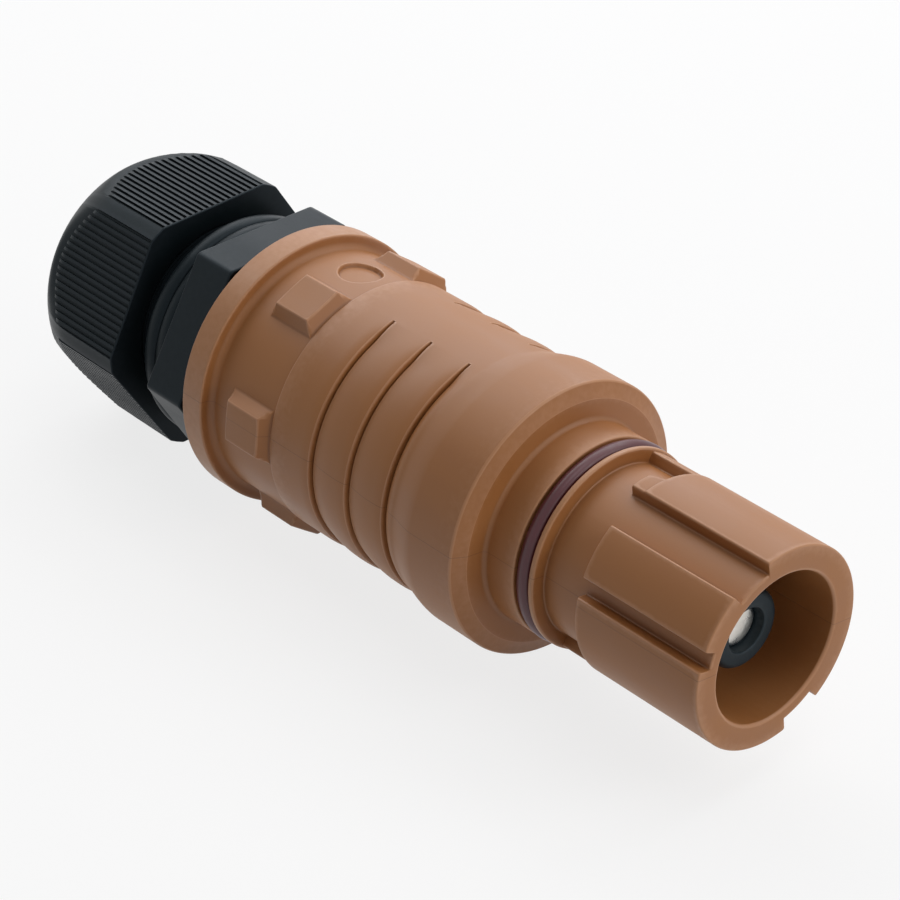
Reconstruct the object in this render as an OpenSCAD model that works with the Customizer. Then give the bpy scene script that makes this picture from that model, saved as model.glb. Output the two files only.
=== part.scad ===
// Single pole bayonet power connector for a cable end, with its cable gland.
// The axis lies along X and the mouth faces +X. The origin is the centre of the mouth.
// Every sub-part is drawn along its own z, the depth behind the mouth, with x upwards.

/* [Bayonet nose] */
// Outside radius of the nose's raised pads
nose_r = 21.5; // [20.5:0.1:23]
// Height of the pads over the track's floor
pad_h = 2.75; // [2:0.05:3.2]
// Height of the stops and detents over the track's floor
stop_h = 2.5; // [1.8:0.05:2.5]
// Depth of the entry slots and the coding slot
slot_depth = 2.8; // [2:0.05:3.3]
// Radius of the mouth
mouth_r = 16; // [15:0.1:16.5]
// Chamfer on the mouth's inner edge
mouth_chamfer = 0.6; // [0.2:0.1:1]
// Depth of the mouth
mouth_depth = 37; // [30:0.5:38]
// Length of the nose, from its rim to its lip
nose_len = 43.4; // [42:0.1:46]
// Width of the track between the pads and the lip
track_w = 11.2; // [9:0.1:13]
// Angle of each of the two entry slots
slot_angle = 24.5; // [18:0.5:30]
// Angle of the coding slot
code_angle = 10.8; // [8:0.2:14]
// Turn from an entry slot to the coding slot
code_turn = 48.8; // [40:0.2:60]
// Turn from an entry slot to its stop
stop_turn = 51; // [46:0.5:60]
// Angle of a stop
stop_angle = 11; // [8:0.5:14]
// Angle of the detent that holds the mating lug against its stop
detent_angle = 13; // [9:0.5:16]
// Length of the detent, behind the pads' rear edge
detent_len = 3.3; // [1.5:0.1:4.5]
// Length of the detent's slanting side, around the nose
detent_ramp = 1.5; // [0.5:0.1:2.5]
// Turn of the entry slot from the top, about the axis
clock = -23; // [-40:1:10]

/* [Nose seal] */
// Width of the lip in front of the seal
lip_w = 1.5; // [1:0.1:3]
// How far the lip stands above the pads
lip_rise = 0.3; // [0.3:0.05:0.6]
// Thickness of the seal ring
seal_d = 3.4; // [2.6:0.1:3.8]
// How far the seal ring stands above the lip
seal_stand = 0.3; // [0.2:0.05:1]
// Axial room beside the seal ring
seal_room = 0.4; // [0.2:0.1:1]

/* [Collar and grip] */
// Radius of the neck behind the seal
neck_r = 22; // [21.6:0.1:23.5]
// Length of the neck
neck_len = 8.1; // [6:0.1:12]
// Fillet between the neck and the collar
neck_fillet = 1; // [0.4:0.1:2]
// How far the front collar stays inside the flange's radius
collar_step = 1; // [0:0.1:1.8]
// Length of the collar's plain band
collar_len = 13; // [9:0.1:18]
// Radial width of the collar's front bevel
bevel_w = 3.4; // [1:0.1:5]
// Depth of the collar's front bevel
bevel_d = 1.3; // [0.5:0.1:3]
// Length of the flare from the grip to the collar
flare_len = 7; // [4:0.1:10]
// Radius of the grip
grip_r = 28.4; // [27.5:0.1:29]
// Distance from the flare to the first groove
groove_start = 2.9; // [2:0.1:5]
// Distance between grooves
groove_pitch = 11.3; // [9:0.1:13]
// Number of grooves
grooves = 3; // [2:1:3]
// Depth of a groove's slit
slit_depth = 1.5; // [1:0.1:2]
// Width of a groove's slit
slit_w = 0.7; // [0.4:0.1:1.2]
// Length of the rounded edges beside each slit
crown_len = 5.2; // [2:0.1:5.3]
// Drop of the rounded edges at the slit
crown_drop = 0.7; // [0.2:0.05:0.9]
// Angle of the plain panel that the grooves leave
panel_angle = 34; // [24:1:44]

/* [Spanner lugs and flange] */
// Radius of the body between the lugs
waist_r = 28; // [27:0.1:28.4]
// Distance from the last groove to the front of the lugs
lug_start = 12.8; // [9:0.1:15]
// Number of lugs
lugs = 6; // [4:1:6]
// How far a lug's flat top stays inside the flange's radius
lug_step = 0.6; // [0.2:0.1:1.5]
// Width of a lug at its top
lug_w = 9; // [6:0.1:11]
// Slope of a lug's sides and ends, in degrees from upright
lug_draft = 27; // [5:1:32]
// Length of a lug at its foot
lug_len = 13.6; // [9:0.1:15]
// Distance from a lug to the flange
lug_gap = 6; // [4:0.1:9]
// Radius of the round marker recess
recess_r = 4.6; // [2.5:0.1:5]
// How far the marker recess lies behind the middle of the lugs
recess_shift = 0.8; // [-1:0.1:1.5]
// Depth of the marker recess
recess_depth = 0.9; // [0.4:0.1:1.5]
// Radius of the rear flange
flange_r = 31; // [30.5:0.1:33]
// Width of the rear flange
flange_w = 6.1; // [4:0.1:9]
// Fillet between the body and the flange
flange_fillet = 1.5; // [0.8:0.1:2.8]
// Rounding of the collar's and the flange's edges
edge_r = 0.5; // [0.2:0.1:1]

/* [Contact] */
// Radius of the contact's pin
pin_r = 8.6; // [7.5:0.1:9.5]
// Depth of the touch guard's face behind the mouth
guard_depth = 7.6; // [5:0.1:12]
// Length of the touch guard
guard_len = 7.4; // [6:0.1:10]
// How far the touch guard stays inside the pin's radius
guard_step = 0.2; // [0.2:0.05:0.5]
// Rounding of the touch guard's front edge
guard_round = 1.4; // [0.5:0.1:2]
// Radius of the contact's tip inside the guard
tip_r = 4.6; // [3.5:0.1:5.5]
// Rounding of the tip's edge
tip_round = 1; // [0.3:0.1:2]
// Depth of the tip behind the guard's face
tip_sink = 2.2; // [1.5:0.1:4]
// Thickness of the shell's web round the contact
web = 8; // [6:0.1:10]
// How far the stem in the web stands above the pin
stem_step = 0.4; // [0.2:0.1:1]
// Length of the taper from the pin to the stem
stem_taper = 1; // [0.5:0.1:2]
// How far the stem reaches out of the web
stem_lead = 0.5; // [0.2:0.1:1]
// Thickness of the stem's seal ring
stem_seal_d = 2; // [1.6:0.1:2.6]
// Radius of the contact's shoulder
shoulder_r = 14.2; // [13:0.1:15]
// Thickness of the contact's shoulder
shoulder_w = 7; // [5:0.1:9]
// Outside radius of the conductor barrel
barrel_r = 12.2; // [11:0.1:12.6]
// Length of the conductor barrel
barrel_len = 46; // [40:0.5:55]
// Radius of the conductor hole
socket_r = 8; // [6:0.1:8.5]
// Depth of the conductor hole
socket_depth = 36; // [30:0.5:38]
// Thickness of the thrust washer
washer_t = 1.5; // [1:0.1:2.5]
// Thickness of the retaining ring
circlip_t = 1.6; // [1:0.1:2.4]
// How far the retaining ring reaches into the shell
circlip_bite = 1.2; // [0.8:0.1:2]
// Angle of the retaining ring's gap
circlip_gap = 36; // [24:1:60]
// Radius of the retaining ring's two eyes
eye_r = 0.6; // [0.4:0.05:0.8]
// Radius of a set screw
screw_r = 5; // [4:0.1:6]
// Length of a set screw
screw_len = 6.5; // [5:0.1:7]
// Distance between the set screws
screw_pitch = 14; // [12.5:0.1:18]
// Width across the flats of a set screw's socket
socket_af = 5; // [4:0.1:6]

/* [Cable gland] */
// Radius of the thread that joins the gland to the shell
entry_r = 20; // [19:0.1:21]
// Length of that thread
entry_len = 17; // [12:0.1:20]
// Radius of the cable chamber inside the shell
chamber_r = 18.6; // [17:0.1:18.8]
// Thickness of the gland's flat seal
gasket_t = 1.2; // [0.8:0.1:2]
// How far the gland's flat seal stays inside the hexagon's flats
gasket_step = 0.8; // [0.2:0.1:3]
// Width of the body's hexagon along the axis
hex_w = 11.6; // [8:0.1:15]
// How far the hexagons' corners are turned down inside the flange's radius
corner_cut = 0.2; // [0:0.1:2]
// How far the round shoulder behind the hexagon stays inside its flats
bead_step = 0.8; // [0.2:0.1:2]
// Width of each of the shoulder's two rounded beads
bead_w = 3.8; // [2.5:0.1:5]
// Radius of the dome nut's thread
nut_thread_r = 22; // [21.5:0.1:23]
// Length of the dome nut's thread on the body
nut_thread_len = 19.4; // [15:0.1:22]
// Radius of the passage through the gland's body
passage_r = 15; // [14:0.1:16]
// Wall of the clamping fingers
finger_wall = 2.6; // [1.8:0.1:2.8]
// Length of the clamping fingers
finger_len = 10; // [7:0.1:11]
// Number of clamping fingers
fingers = 12; // [8:1:16]
// Width of the slits between the fingers
finger_slit = 2; // [1:0.1:3]
// Outside radius of the rubber seal
sleeve_r = 18; // [17.5:0.1:18.4]
// Radius of the cable hole in the rubber seal
cable_r = 13.5; // [10:0.1:14]
// Length of the rubber seal
sleeve_len = 24; // [18:0.1:26]
// Distance from the shoulder to the dome nut
nut_gap = 5; // [3:0.1:8]
// Length of the dome nut
nut_len = 32.9; // [30:0.1:36]
// How far the nut's flats stand outside the hexagon's flats
nut_step = 0.75; // [0:0.05:1.5]
// Turn of the nut from the hexagon, about the axis
nut_turn = -2; // [-30:1:30]
// Length of the nut's flats before the dome starts
nut_flat = 13.8; // [10:0.1:16]
// Radius of the nut's flat rear face
nut_face_r = 20; // [17:0.1:22]
// Number of ribs on each flat of the nut
ribs = 18; // [10:1:18]
// Distance between the nut's ribs
rib_pitch = 1.5; // [1.3:0.05:1.55]
// Width of the valleys between the nut's ribs
rib_valley = 0.7; // [0.4:0.05:1]
// Depth of the valleys between the nut's ribs
rib_depth = 0.5; // [0.2:0.05:0.8]
// Distance from the nut's front edge to its ribs
rib_start = 0.4; // [0.2:0.1:3]
// Distance from the ribs' ends to the nut's rear, at the middle of a flat
rib_tail = 7.4; // [5.5:0.1:9]
// Slope of the ribs' ends, in degrees from the axis
rib_slope = 28; // [24:1:60]
// Radius of the cable hole through the nut
nut_mouth_r = 14.5; // [14.2:0.1:16]
// Length of the nut's cable hole
nut_mouth_len = 2; // [1:0.1:4]

/* [Fits] */
// Radial clearance of the threads
thread_gap = 0.1; // [0.05:0.05:0.3]
// Radial clearance of turned parts in their bores
bore_gap = 0.1; // [0.05:0.05:0.2]
// Clearance of the seals in their grooves
seal_gap = 0.05; // [0.02:0.01:0.1]

/* [Hidden] */
$fn = 96;
over = 1;
steps = 8;
track_r = nose_r - pad_h;
pad_rear = nose_len - track_w;

groove_front = nose_len + lip_w;
groove_rear = groove_front + seal_d + seal_room;
lip_r = nose_r + lip_rise;
seal_r = lip_r + seal_stand - seal_d / 2;
seal_floor = seal_r - seal_d / 2 - seal_gap;
collar_r = flange_r - collar_step;
lug_h = flange_r - lug_step;
hex_af = flange_r * sqrt(3);
corner_r = flange_r - corner_cut;
gasket_r = hex_af / 2 - gasket_step;
bead_r = hex_af / 2 - bead_step;
collar_face = groove_rear + neck_len;
collar_front = collar_face + bevel_d;
collar_rear = collar_front + collar_len - bevel_d;
flare_rear = collar_rear + flare_len;
last_groove = flare_rear + groove_start + (grooves - 1) * groove_pitch;
lug_front = last_groove + lug_start;
lug_rear = lug_front + lug_len;
recess_at = (lug_front + lug_rear) / 2 + recess_shift;
flange_front = lug_rear + lug_gap;
shell_end = flange_front + flange_w;
panel_mid = clock + 180 / lugs;

web_rear = mouth_depth + web;
guard_rear = guard_depth + guard_len;
tip_front = guard_depth + tip_sink;
stem_r = pin_r + stem_step;
stem_front = mouth_depth - stem_lead;
stem_hole_r = stem_r + bore_gap;
stem_seal_r = stem_r - stem_seal_d / 2;
guard_r = pin_r - guard_step;
stem_seal_mid = mouth_depth + web / 2;
stem_groove_w = stem_seal_d + 2 * seal_gap;
pocket_r = shoulder_r + bore_gap;
shoulder_rear = web_rear + shoulder_w;
circlip_front = shoulder_rear + washer_t;
circlip_rear = circlip_front + circlip_t;
circlip_r = pocket_r + circlip_bite;
circlip_in = barrel_r + bore_gap;
pocket_end = circlip_rear + circlip_t;
barrel_rear = shoulder_rear + barrel_len;
socket_front = barrel_rear - socket_depth;
screw_mid = socket_front + socket_depth / 2;
screw_hole_r = screw_r + thread_gap;
screw_foot = socket_r + bore_gap;

entry_bore_r = entry_r + thread_gap;
hex_front = shell_end + gasket_t;
hex_rear = hex_front + hex_w;
entry_front = hex_front - entry_len;
chamber_end = entry_front - 2 * thread_gap;
bead_rear = hex_rear + 2 * bead_w;
thread_rear = bead_rear + nut_thread_len;
finger_r = sleeve_r + bore_gap + finger_wall;
finger_rear = thread_rear + finger_len;
sleeve_seat = finger_rear - sleeve_len;
nut_flat_r = hex_af / 2 + nut_step;
nut_front = bead_rear + nut_gap;
nut_rear = nut_front + nut_len;
nut_bore_r = nut_thread_r + thread_gap;
nut_relief_r = finger_r + 4 * thread_gap;
dome_front = nut_front + nut_flat;

shell_colour = "#a5673f";
black_nylon = "#1b2123";
seal_red = "#5a1830";
rubber_black = "#151515";
plated_silver = "#c8c6c0";
spring_steel = "#6f7276";

// Points of a round that runs from angle a to angle b about the centre c, given as [radius, depth].
function arc(c, r, a, b) = [
  for (i = [0:steps]) let (at = a + (b - a) * i / steps) c + r * [cos(at), sin(at)]
];

// Points of a curve with two handles, from p to q.
function curve(p, h, k, q) = [
  for (i = [0:steps]) let (t = i / steps, s = 1 - t) s^3 * p + 3 * s^2 * t * h + 3 * s * t^2 * k + t^3 * q
];

// Points of one rounded bead of the gland's shoulder.
function bead(front) = let (foot = bead_r - bead_w / 4, rear = front + bead_w)
  curve([foot, front], [bead_r, front], [bead_r, rear], [foot, rear]);

// Lays a sub-part drawn along z on the connector's axis.
module on_axis() {
  rotate([0, -90, 0]) children();
}

// A turned solid from its half section, given as [radius, depth] points.
module turned(points) {
  rotate_extrude() polygon(points);
}

// A turned band between two radii and two depths.
module band(inner, outer, front, rear) {
  turned([[inner, front], [outer, front], [outer, rear], [inner, rear]]);
}

// Part of a turned band, from one angle to another.
module band_part(inner, outer, front, rear, from, to) {
  rotate([0, 0, from]) rotate_extrude(angle = to - from)
    polygon([[inner, front], [outer, front], [outer, rear], [inner, rear]]);
}

// A hexagon with a flat on top, with its corners turned down.
module gland_hex(flat_r, front, rear) {
  intersection() {
    translate([0, 0, front]) rotate([0, 0, 30]) cylinder(r = flat_r * 2 / sqrt(3), h = rear - front, $fn = 6);
    band(0, corner_r, front, rear);
  }
}

// The shell's outside, before the slots, the grooves and the recess are cut.
module shell_outside() {
  turned(concat(
    [[0, 0], [nose_r, 0], [nose_r, pad_rear], [track_r, pad_rear], [track_r, nose_len], [lip_r, nose_len],
     [lip_r, groove_front], [seal_floor, groove_front], [seal_floor, groove_rear], [neck_r, groove_rear]],
    arc([neck_r + neck_fillet, collar_face - neck_fillet], neck_fillet, 180, 90),
    [[collar_r - bevel_w, collar_face]],
    arc([collar_r - edge_r, collar_front + edge_r], edge_r, -60, 0),
    curve([collar_r, collar_rear], [collar_r, collar_rear + flare_len / 3],
      [grip_r, flare_rear - flare_len / 6], [grip_r, flare_rear]),
    [[grip_r, lug_front], [waist_r, lug_front]],
    arc([waist_r + flange_fillet, flange_front - flange_fillet], flange_fillet, 180, 90),
    arc([flange_r - edge_r, flange_front + edge_r], edge_r, -90, 0),
    arc([flange_r - edge_r, shell_end - edge_r], edge_r, 0, 90),
    [[0, shell_end]]
  ));
}

// The shell's inside: mouth, stem hole, contact pocket, retaining groove, cable chamber and entry thread.
module shell_inside() {
  ring_from = circlip_front - seal_gap;
  ring_to = circlip_rear + seal_gap;
  turned([
    [0, -over], [mouth_r + mouth_chamfer + over, -over], [mouth_r, mouth_chamfer], [mouth_r, mouth_depth],
    [stem_hole_r, mouth_depth], [stem_hole_r, web_rear], [pocket_r, web_rear], [pocket_r, ring_from],
    [circlip_r + seal_gap, ring_from], [circlip_r + seal_gap, ring_to], [pocket_r, ring_to],
    [pocket_r, pocket_end], [chamber_r, pocket_end + chamber_r - pocket_r], [chamber_r, chamber_end],
    [entry_bore_r, chamber_end], [entry_bore_r, shell_end + over], [0, shell_end + over]
  ]);
}

// The two stops and the two detents that stand in the bayonet's track.
module stops() {
  foot_r = track_r - over;
  stand_r = track_r + stop_h;
  for (half = [0, 180]) rotate([0, 0, clock + half]) {
    band_part(foot_r, stand_r, pad_rear - over, nose_len + lip_w / 2, stop_turn, stop_turn + stop_angle);
    intersection() {
      band_part(foot_r, stand_r, pad_rear - over, pad_rear + detent_len, 0, stop_turn - stop_angle);
      rotate([0, 0, slot_angle / 2 + detent_angle]) detent_side();
    }
  }
}

// All that lies on the near side of a detent's slanting far side.
module detent_side() {
  front = pad_rear - detent_len;
  rear = pad_rear + 2 * detent_len;
  rotate([0, 90, 0]) linear_extrude(nose_r + over)
    polygon([[-front, 2 * detent_ramp], [-rear, -detent_ramp], [-rear, -nose_r], [-front, -nose_r]]);
}

// The entry slots and the coding slot, open at the rim and at the track.
module slots() {
  floor_r = nose_r - slot_depth;
  for (half = [0, 180]) rotate([0, 0, clock + half])
    band_part(floor_r, nose_r + over, -over, pad_rear + detent_len + over, -slot_angle / 2, slot_angle / 2);
  rotate([0, 0, clock - code_turn])
    band_part(floor_r, nose_r + over, -over, pad_rear + over, -code_angle / 2, code_angle / 2);
}

// Points of a groove's rounded edge, over a signed length from the slit, taken from share a to share b of it.
function crown(slit, len, a, b) = let (crest = grip_r + crown_drop / 8, drop = crown_drop + crest - grip_r) [
  for (i = [0:steps]) let (t = a + (b - a) * i / steps) [crest - drop * (1 - t)^2, slit + len * t]
];

// One grip groove: a slit, with the bands rounded down to it on both sides, left out over the plain panel.
module grip_groove(at) {
  lead = min(crown_len, at - flare_rear);
  slit_rear = at + slit_w;
  rotate([0, 0, panel_mid + panel_angle / 2]) rotate_extrude(angle = 360 - panel_angle) polygon(concat(
    [[grip_r + over, at - lead]],
    crown(at, -lead, 1, 0),
    [[grip_r - slit_depth, at], [grip_r - slit_depth, slit_rear]],
    crown(slit_rear, crown_len, 0, 1),
    [[grip_r + over, slit_rear + crown_len]]
  ));
}

// One spanner lug, with a flat top and drafted sides and ends.
module spanner_lug() {
  rise = lug_h - waist_r + over;
  spread = rise * tan(lug_draft);
  foot_r = lug_h - rise;
  half = lug_w / 2;
  intersection() {
    translate([0, 0, lug_front]) linear_extrude(lug_len)
      polygon([[foot_r, -half - spread], [lug_h, -half], [lug_h, half], [foot_r, half + spread]]);
    translate([0, lug_w + spread, 0]) rotate([90, 0, 0]) linear_extrude(2 * (lug_w + spread))
      polygon([[foot_r, lug_front], [lug_h, lug_front + spread], [lug_h, lug_rear - spread],
        [foot_r, lug_rear]]);
  }
}

// The brown moulding.
module insulating_shell() {
  color(shell_colour) on_axis() difference() {
    union() {
      shell_outside();
      stops();
      for (i = [0:lugs - 1]) rotate([0, 0, clock + i * 360 / lugs]) spanner_lug();
    }
    shell_inside();
    slots();
    for (i = [0:grooves - 1]) grip_groove(last_groove - i * groove_pitch);
    rotate([0, 0, panel_mid]) translate([waist_r - recess_depth, 0, recess_at])
      rotate([0, 90, 0]) cylinder(r = recess_r, h = recess_depth + over);
  }
}

// The seal ring behind the lip.
module nose_o_ring() {
  color(seal_red) on_axis() translate([0, 0, (groove_front + groove_rear) / 2])
    rotate_extrude() translate([seal_r, 0]) circle(d = seal_d, $fn = 48);
}

// The plated contact: tip, pin, stem groove, shoulder and conductor barrel.
module contact_pin() {
  groove_from = stem_seal_mid - stem_groove_w / 2;
  groove_to = stem_seal_mid + stem_groove_w / 2;
  groove_r = stem_r - stem_seal_d - seal_gap;
  color(plated_silver) on_axis() difference() {
    turned(concat(
      [[0, tip_front]],
      arc([tip_r - tip_round, tip_front + tip_round], tip_round, -90, 0),
      [[tip_r, guard_rear], [pin_r, guard_rear], [pin_r, stem_front - stem_taper], [stem_r, stem_front],
       [stem_r, groove_from], [groove_r, groove_from], [groove_r, groove_to], [stem_r, groove_to],
       [stem_r, web_rear], [shoulder_r, web_rear], [shoulder_r, shoulder_rear], [barrel_r, shoulder_rear],
       [barrel_r, barrel_rear], [socket_r, barrel_rear], [socket_r, socket_front], [0, socket_front]]
    ));
    for (side = [-1, 1]) translate([0, 0, screw_mid + side * screw_pitch / 2]) rotate([0, 90, 0])
      cylinder(r = screw_hole_r, h = barrel_r + over);
  }
}

// The black ring that keeps fingers off the contact's tip.
module touch_guard() {
  color(black_nylon) on_axis() turned(concat(
    [[tip_r + bore_gap, guard_depth]],
    arc([guard_r - guard_round, guard_depth + guard_round], guard_round, -90, 0),
    [[guard_r, guard_rear], [tip_r + bore_gap, guard_rear]]
  ));
}

// The seal ring round the contact's stem.
module contact_o_ring() {
  color(rubber_black) on_axis() translate([0, 0, stem_seal_mid])
    rotate_extrude() translate([stem_seal_r, 0]) circle(d = stem_seal_d, $fn = 48);
}

// The washer behind the contact's shoulder.
module thrust_washer() {
  color(plated_silver) on_axis() band(circlip_in, shoulder_r, shoulder_rear, circlip_front);
}

// The sprung ring that keeps the contact in the shell, with an eye at each end.
module retaining_ring() {
  eye_turn = circlip_gap / 2 + asin(2 * eye_r / circlip_in);
  eye_at = (circlip_in + circlip_r) / 2;
  color(spring_steel) on_axis() difference() {
    band_part(circlip_in, circlip_r, circlip_front, circlip_rear, circlip_gap / 2, 360 - circlip_gap / 2);
    for (turn = [-eye_turn, eye_turn]) rotate([0, 0, turn]) translate([eye_at, 0, circlip_front - over])
      cylinder(r = eye_r, h = circlip_t + 2 * over);
  }
}

// The two grub screws in the conductor barrel.
module set_screws() {
  drive_depth = screw_len / 2;
  color(spring_steel) on_axis()
    for (side = [-1, 1]) translate([screw_foot, 0, screw_mid + side * screw_pitch / 2]) rotate([0, 90, 0])
      difference() {
        cylinder(r = screw_r, h = screw_len);
        translate([0, 0, screw_len - drive_depth])
          cylinder(d = socket_af * 2 / sqrt(3), h = drive_depth + over, $fn = 6);
      }
}

// The flat seal between the shell and the gland.
module gland_gasket() {
  color(rubber_black) on_axis() band(entry_bore_r, gasket_r, shell_end, hex_front);
}

// The gland's body: entry thread, hexagon, beaded shoulder, nut thread and clamping fingers.
module gland_body() {
  lead = finger_wall * 0.7;
  color(black_nylon) on_axis() difference() {
    union() {
      gland_hex(hex_af / 2, hex_front, hex_rear);
      turned(concat(
        [[0, entry_front], [entry_r, entry_front], [entry_r, hex_rear]],
        bead(hex_rear),
        bead(hex_rear + bead_w),
        [[nut_thread_r, bead_rear], [nut_thread_r, thread_rear], [finger_r, thread_rear],
         [finger_r, finger_rear - lead], [finger_r - lead, finger_rear], [0, finger_rear]]
      ));
    }
    band(0, passage_r, entry_front - over, sleeve_seat);
    band(0, sleeve_r + bore_gap, sleeve_seat, finger_rear + over);
    for (i = [0:fingers - 1]) rotate([0, 0, i * 360 / fingers])
      translate([0, -finger_slit / 2, thread_rear]) cube([finger_r + over, finger_slit, finger_len + over]);
  }
}

// The rubber sleeve that grips the cable.
module gland_seal() {
  color(rubber_black) on_axis() band(cable_r, sleeve_r, sleeve_seat, finger_rear);
}

// What is cut from the nut's top flat: a shallow panel, less the ribs that stand in it.
module rib_panel() {
  floor_at = nut_flat_r - rib_depth;
  width = ribs * rib_pitch + rib_valley;
  rib_w = rib_pitch - rib_valley;
  difference() {
    translate([floor_at, -width / 2, nut_front + rib_start]) cube([rib_depth + over, width, nut_len]);
    intersection() {
      for (i = [0:ribs - 1])
        translate([floor_at - over, (i - ribs / 2) * rib_pitch + rib_valley / 2, nut_front])
          cube([rib_depth + 3 * over, rib_w, nut_len]);
      rib_ends();
    }
  }
}

// The cone that the ribs' rear ends lie on.
module rib_ends() {
  end = nut_rear - rib_tail;
  grow = tan(rib_slope);
  tip = end + (nut_flat_r - nut_face_r) / grow;
  turned([[0, nut_front - over], [nut_flat_r + (end - nut_front + over) * grow, nut_front - over],
    [nut_face_r, tip], [0, tip]]);
}

// The dome nut, with ribbed flats that end short of its dome.
module gland_nut() {
  mouth_front = nut_rear - nut_mouth_len;
  color(black_nylon) on_axis() rotate([0, 0, nut_turn]) difference() {
    intersection() {
      gland_hex(nut_flat_r, nut_front, nut_rear);
      turned(concat(
        [[0, nut_front], [flange_r, nut_front]],
        [for (i = [0:2 * steps]) let (a = 45 * i / steps)
          [nut_face_r + (flange_r - nut_face_r) * cos(a), dome_front + (nut_rear - dome_front) * sin(a)]],
        [[0, nut_rear]]
      ));
    }
    for (side = [0:5]) rotate([0, 0, side * 60]) rib_panel();
    turned([
      [0, nut_front - over], [nut_bore_r, nut_front - over], [nut_bore_r, thread_rear + thread_gap],
      [nut_relief_r, thread_rear + thread_gap], [nut_relief_r, finger_rear], [nut_mouth_r, mouth_front],
      [nut_mouth_r, nut_rear + over], [0, nut_rear + over]
    ]);
  }
}

insulating_shell();
nose_o_ring();
contact_pin();
touch_guard();
contact_o_ring();
thrust_washer();
retaining_ring();
set_screws();
gland_gasket();
gland_body();
gland_seal();
gland_nut();
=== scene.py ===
"""Single pole bayonet power connector with its cable gland: the dressed model and its studio.

Lengths are millimetres until a mesh is made. A place on a piece is its depth behind the mouth, its
radius from the axis and its angle from the top in degrees, which grows towards +Y.
"""
import logging
import math
from collections.abc import Sequence
from dataclasses import dataclass, field
from enum import Enum

import bmesh
import bpy
import numpy as np
from mathutils import Matrix, Vector


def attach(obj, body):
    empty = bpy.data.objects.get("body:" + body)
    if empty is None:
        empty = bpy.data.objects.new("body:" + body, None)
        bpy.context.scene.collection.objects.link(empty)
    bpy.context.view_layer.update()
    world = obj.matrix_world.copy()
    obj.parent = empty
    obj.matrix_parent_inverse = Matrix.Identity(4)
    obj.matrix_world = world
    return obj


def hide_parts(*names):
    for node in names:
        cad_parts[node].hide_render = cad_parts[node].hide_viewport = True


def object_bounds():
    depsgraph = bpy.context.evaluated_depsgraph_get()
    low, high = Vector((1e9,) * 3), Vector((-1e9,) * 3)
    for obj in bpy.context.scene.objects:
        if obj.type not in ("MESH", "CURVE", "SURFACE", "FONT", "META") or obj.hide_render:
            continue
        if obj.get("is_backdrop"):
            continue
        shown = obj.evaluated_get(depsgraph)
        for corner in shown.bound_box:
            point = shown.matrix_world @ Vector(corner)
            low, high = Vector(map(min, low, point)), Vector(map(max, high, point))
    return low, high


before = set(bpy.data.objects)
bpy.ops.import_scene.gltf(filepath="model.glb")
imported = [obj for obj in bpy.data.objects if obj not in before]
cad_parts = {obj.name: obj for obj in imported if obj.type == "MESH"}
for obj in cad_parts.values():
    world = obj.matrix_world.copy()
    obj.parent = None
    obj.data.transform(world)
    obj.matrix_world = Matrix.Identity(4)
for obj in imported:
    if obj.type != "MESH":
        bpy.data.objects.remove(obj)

MM = 0.001
BODY = "root"
CREST = "crest"
LOG = logging.getLogger("connector")
NODE_GAP = 180.0
MIX_FIRST, MIX_SECOND, MIX_RESULT = 6, 7, 2
FILLET_ROOM = 0.48
POLE_R = 1e-7
SHORTEST_EDGE = 1e-6
WHOLE_TURN = 360.0
HALF_TURN = 180.0
LINE_DIGITS = 5

Colour = tuple[float, float, float, float]
Corner = tuple[float, float, float]
Place = tuple[float, float, float]
Value = float | int | Colour | Place | bpy.types.NodeSocket | bpy.types.Material


class Slot(Enum):
    """Material slots of the record."""

    BROWN_NYLON = "brown_nylon"
    BLACK_NYLON = "black_nylon"
    RED_RUBBER = "red_rubber"
    BLACK_RUBBER = "black_rubber"
    PLATED_BRASS = "plated_brass"
    SPRING_STEEL = "spring_steel"


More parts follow.
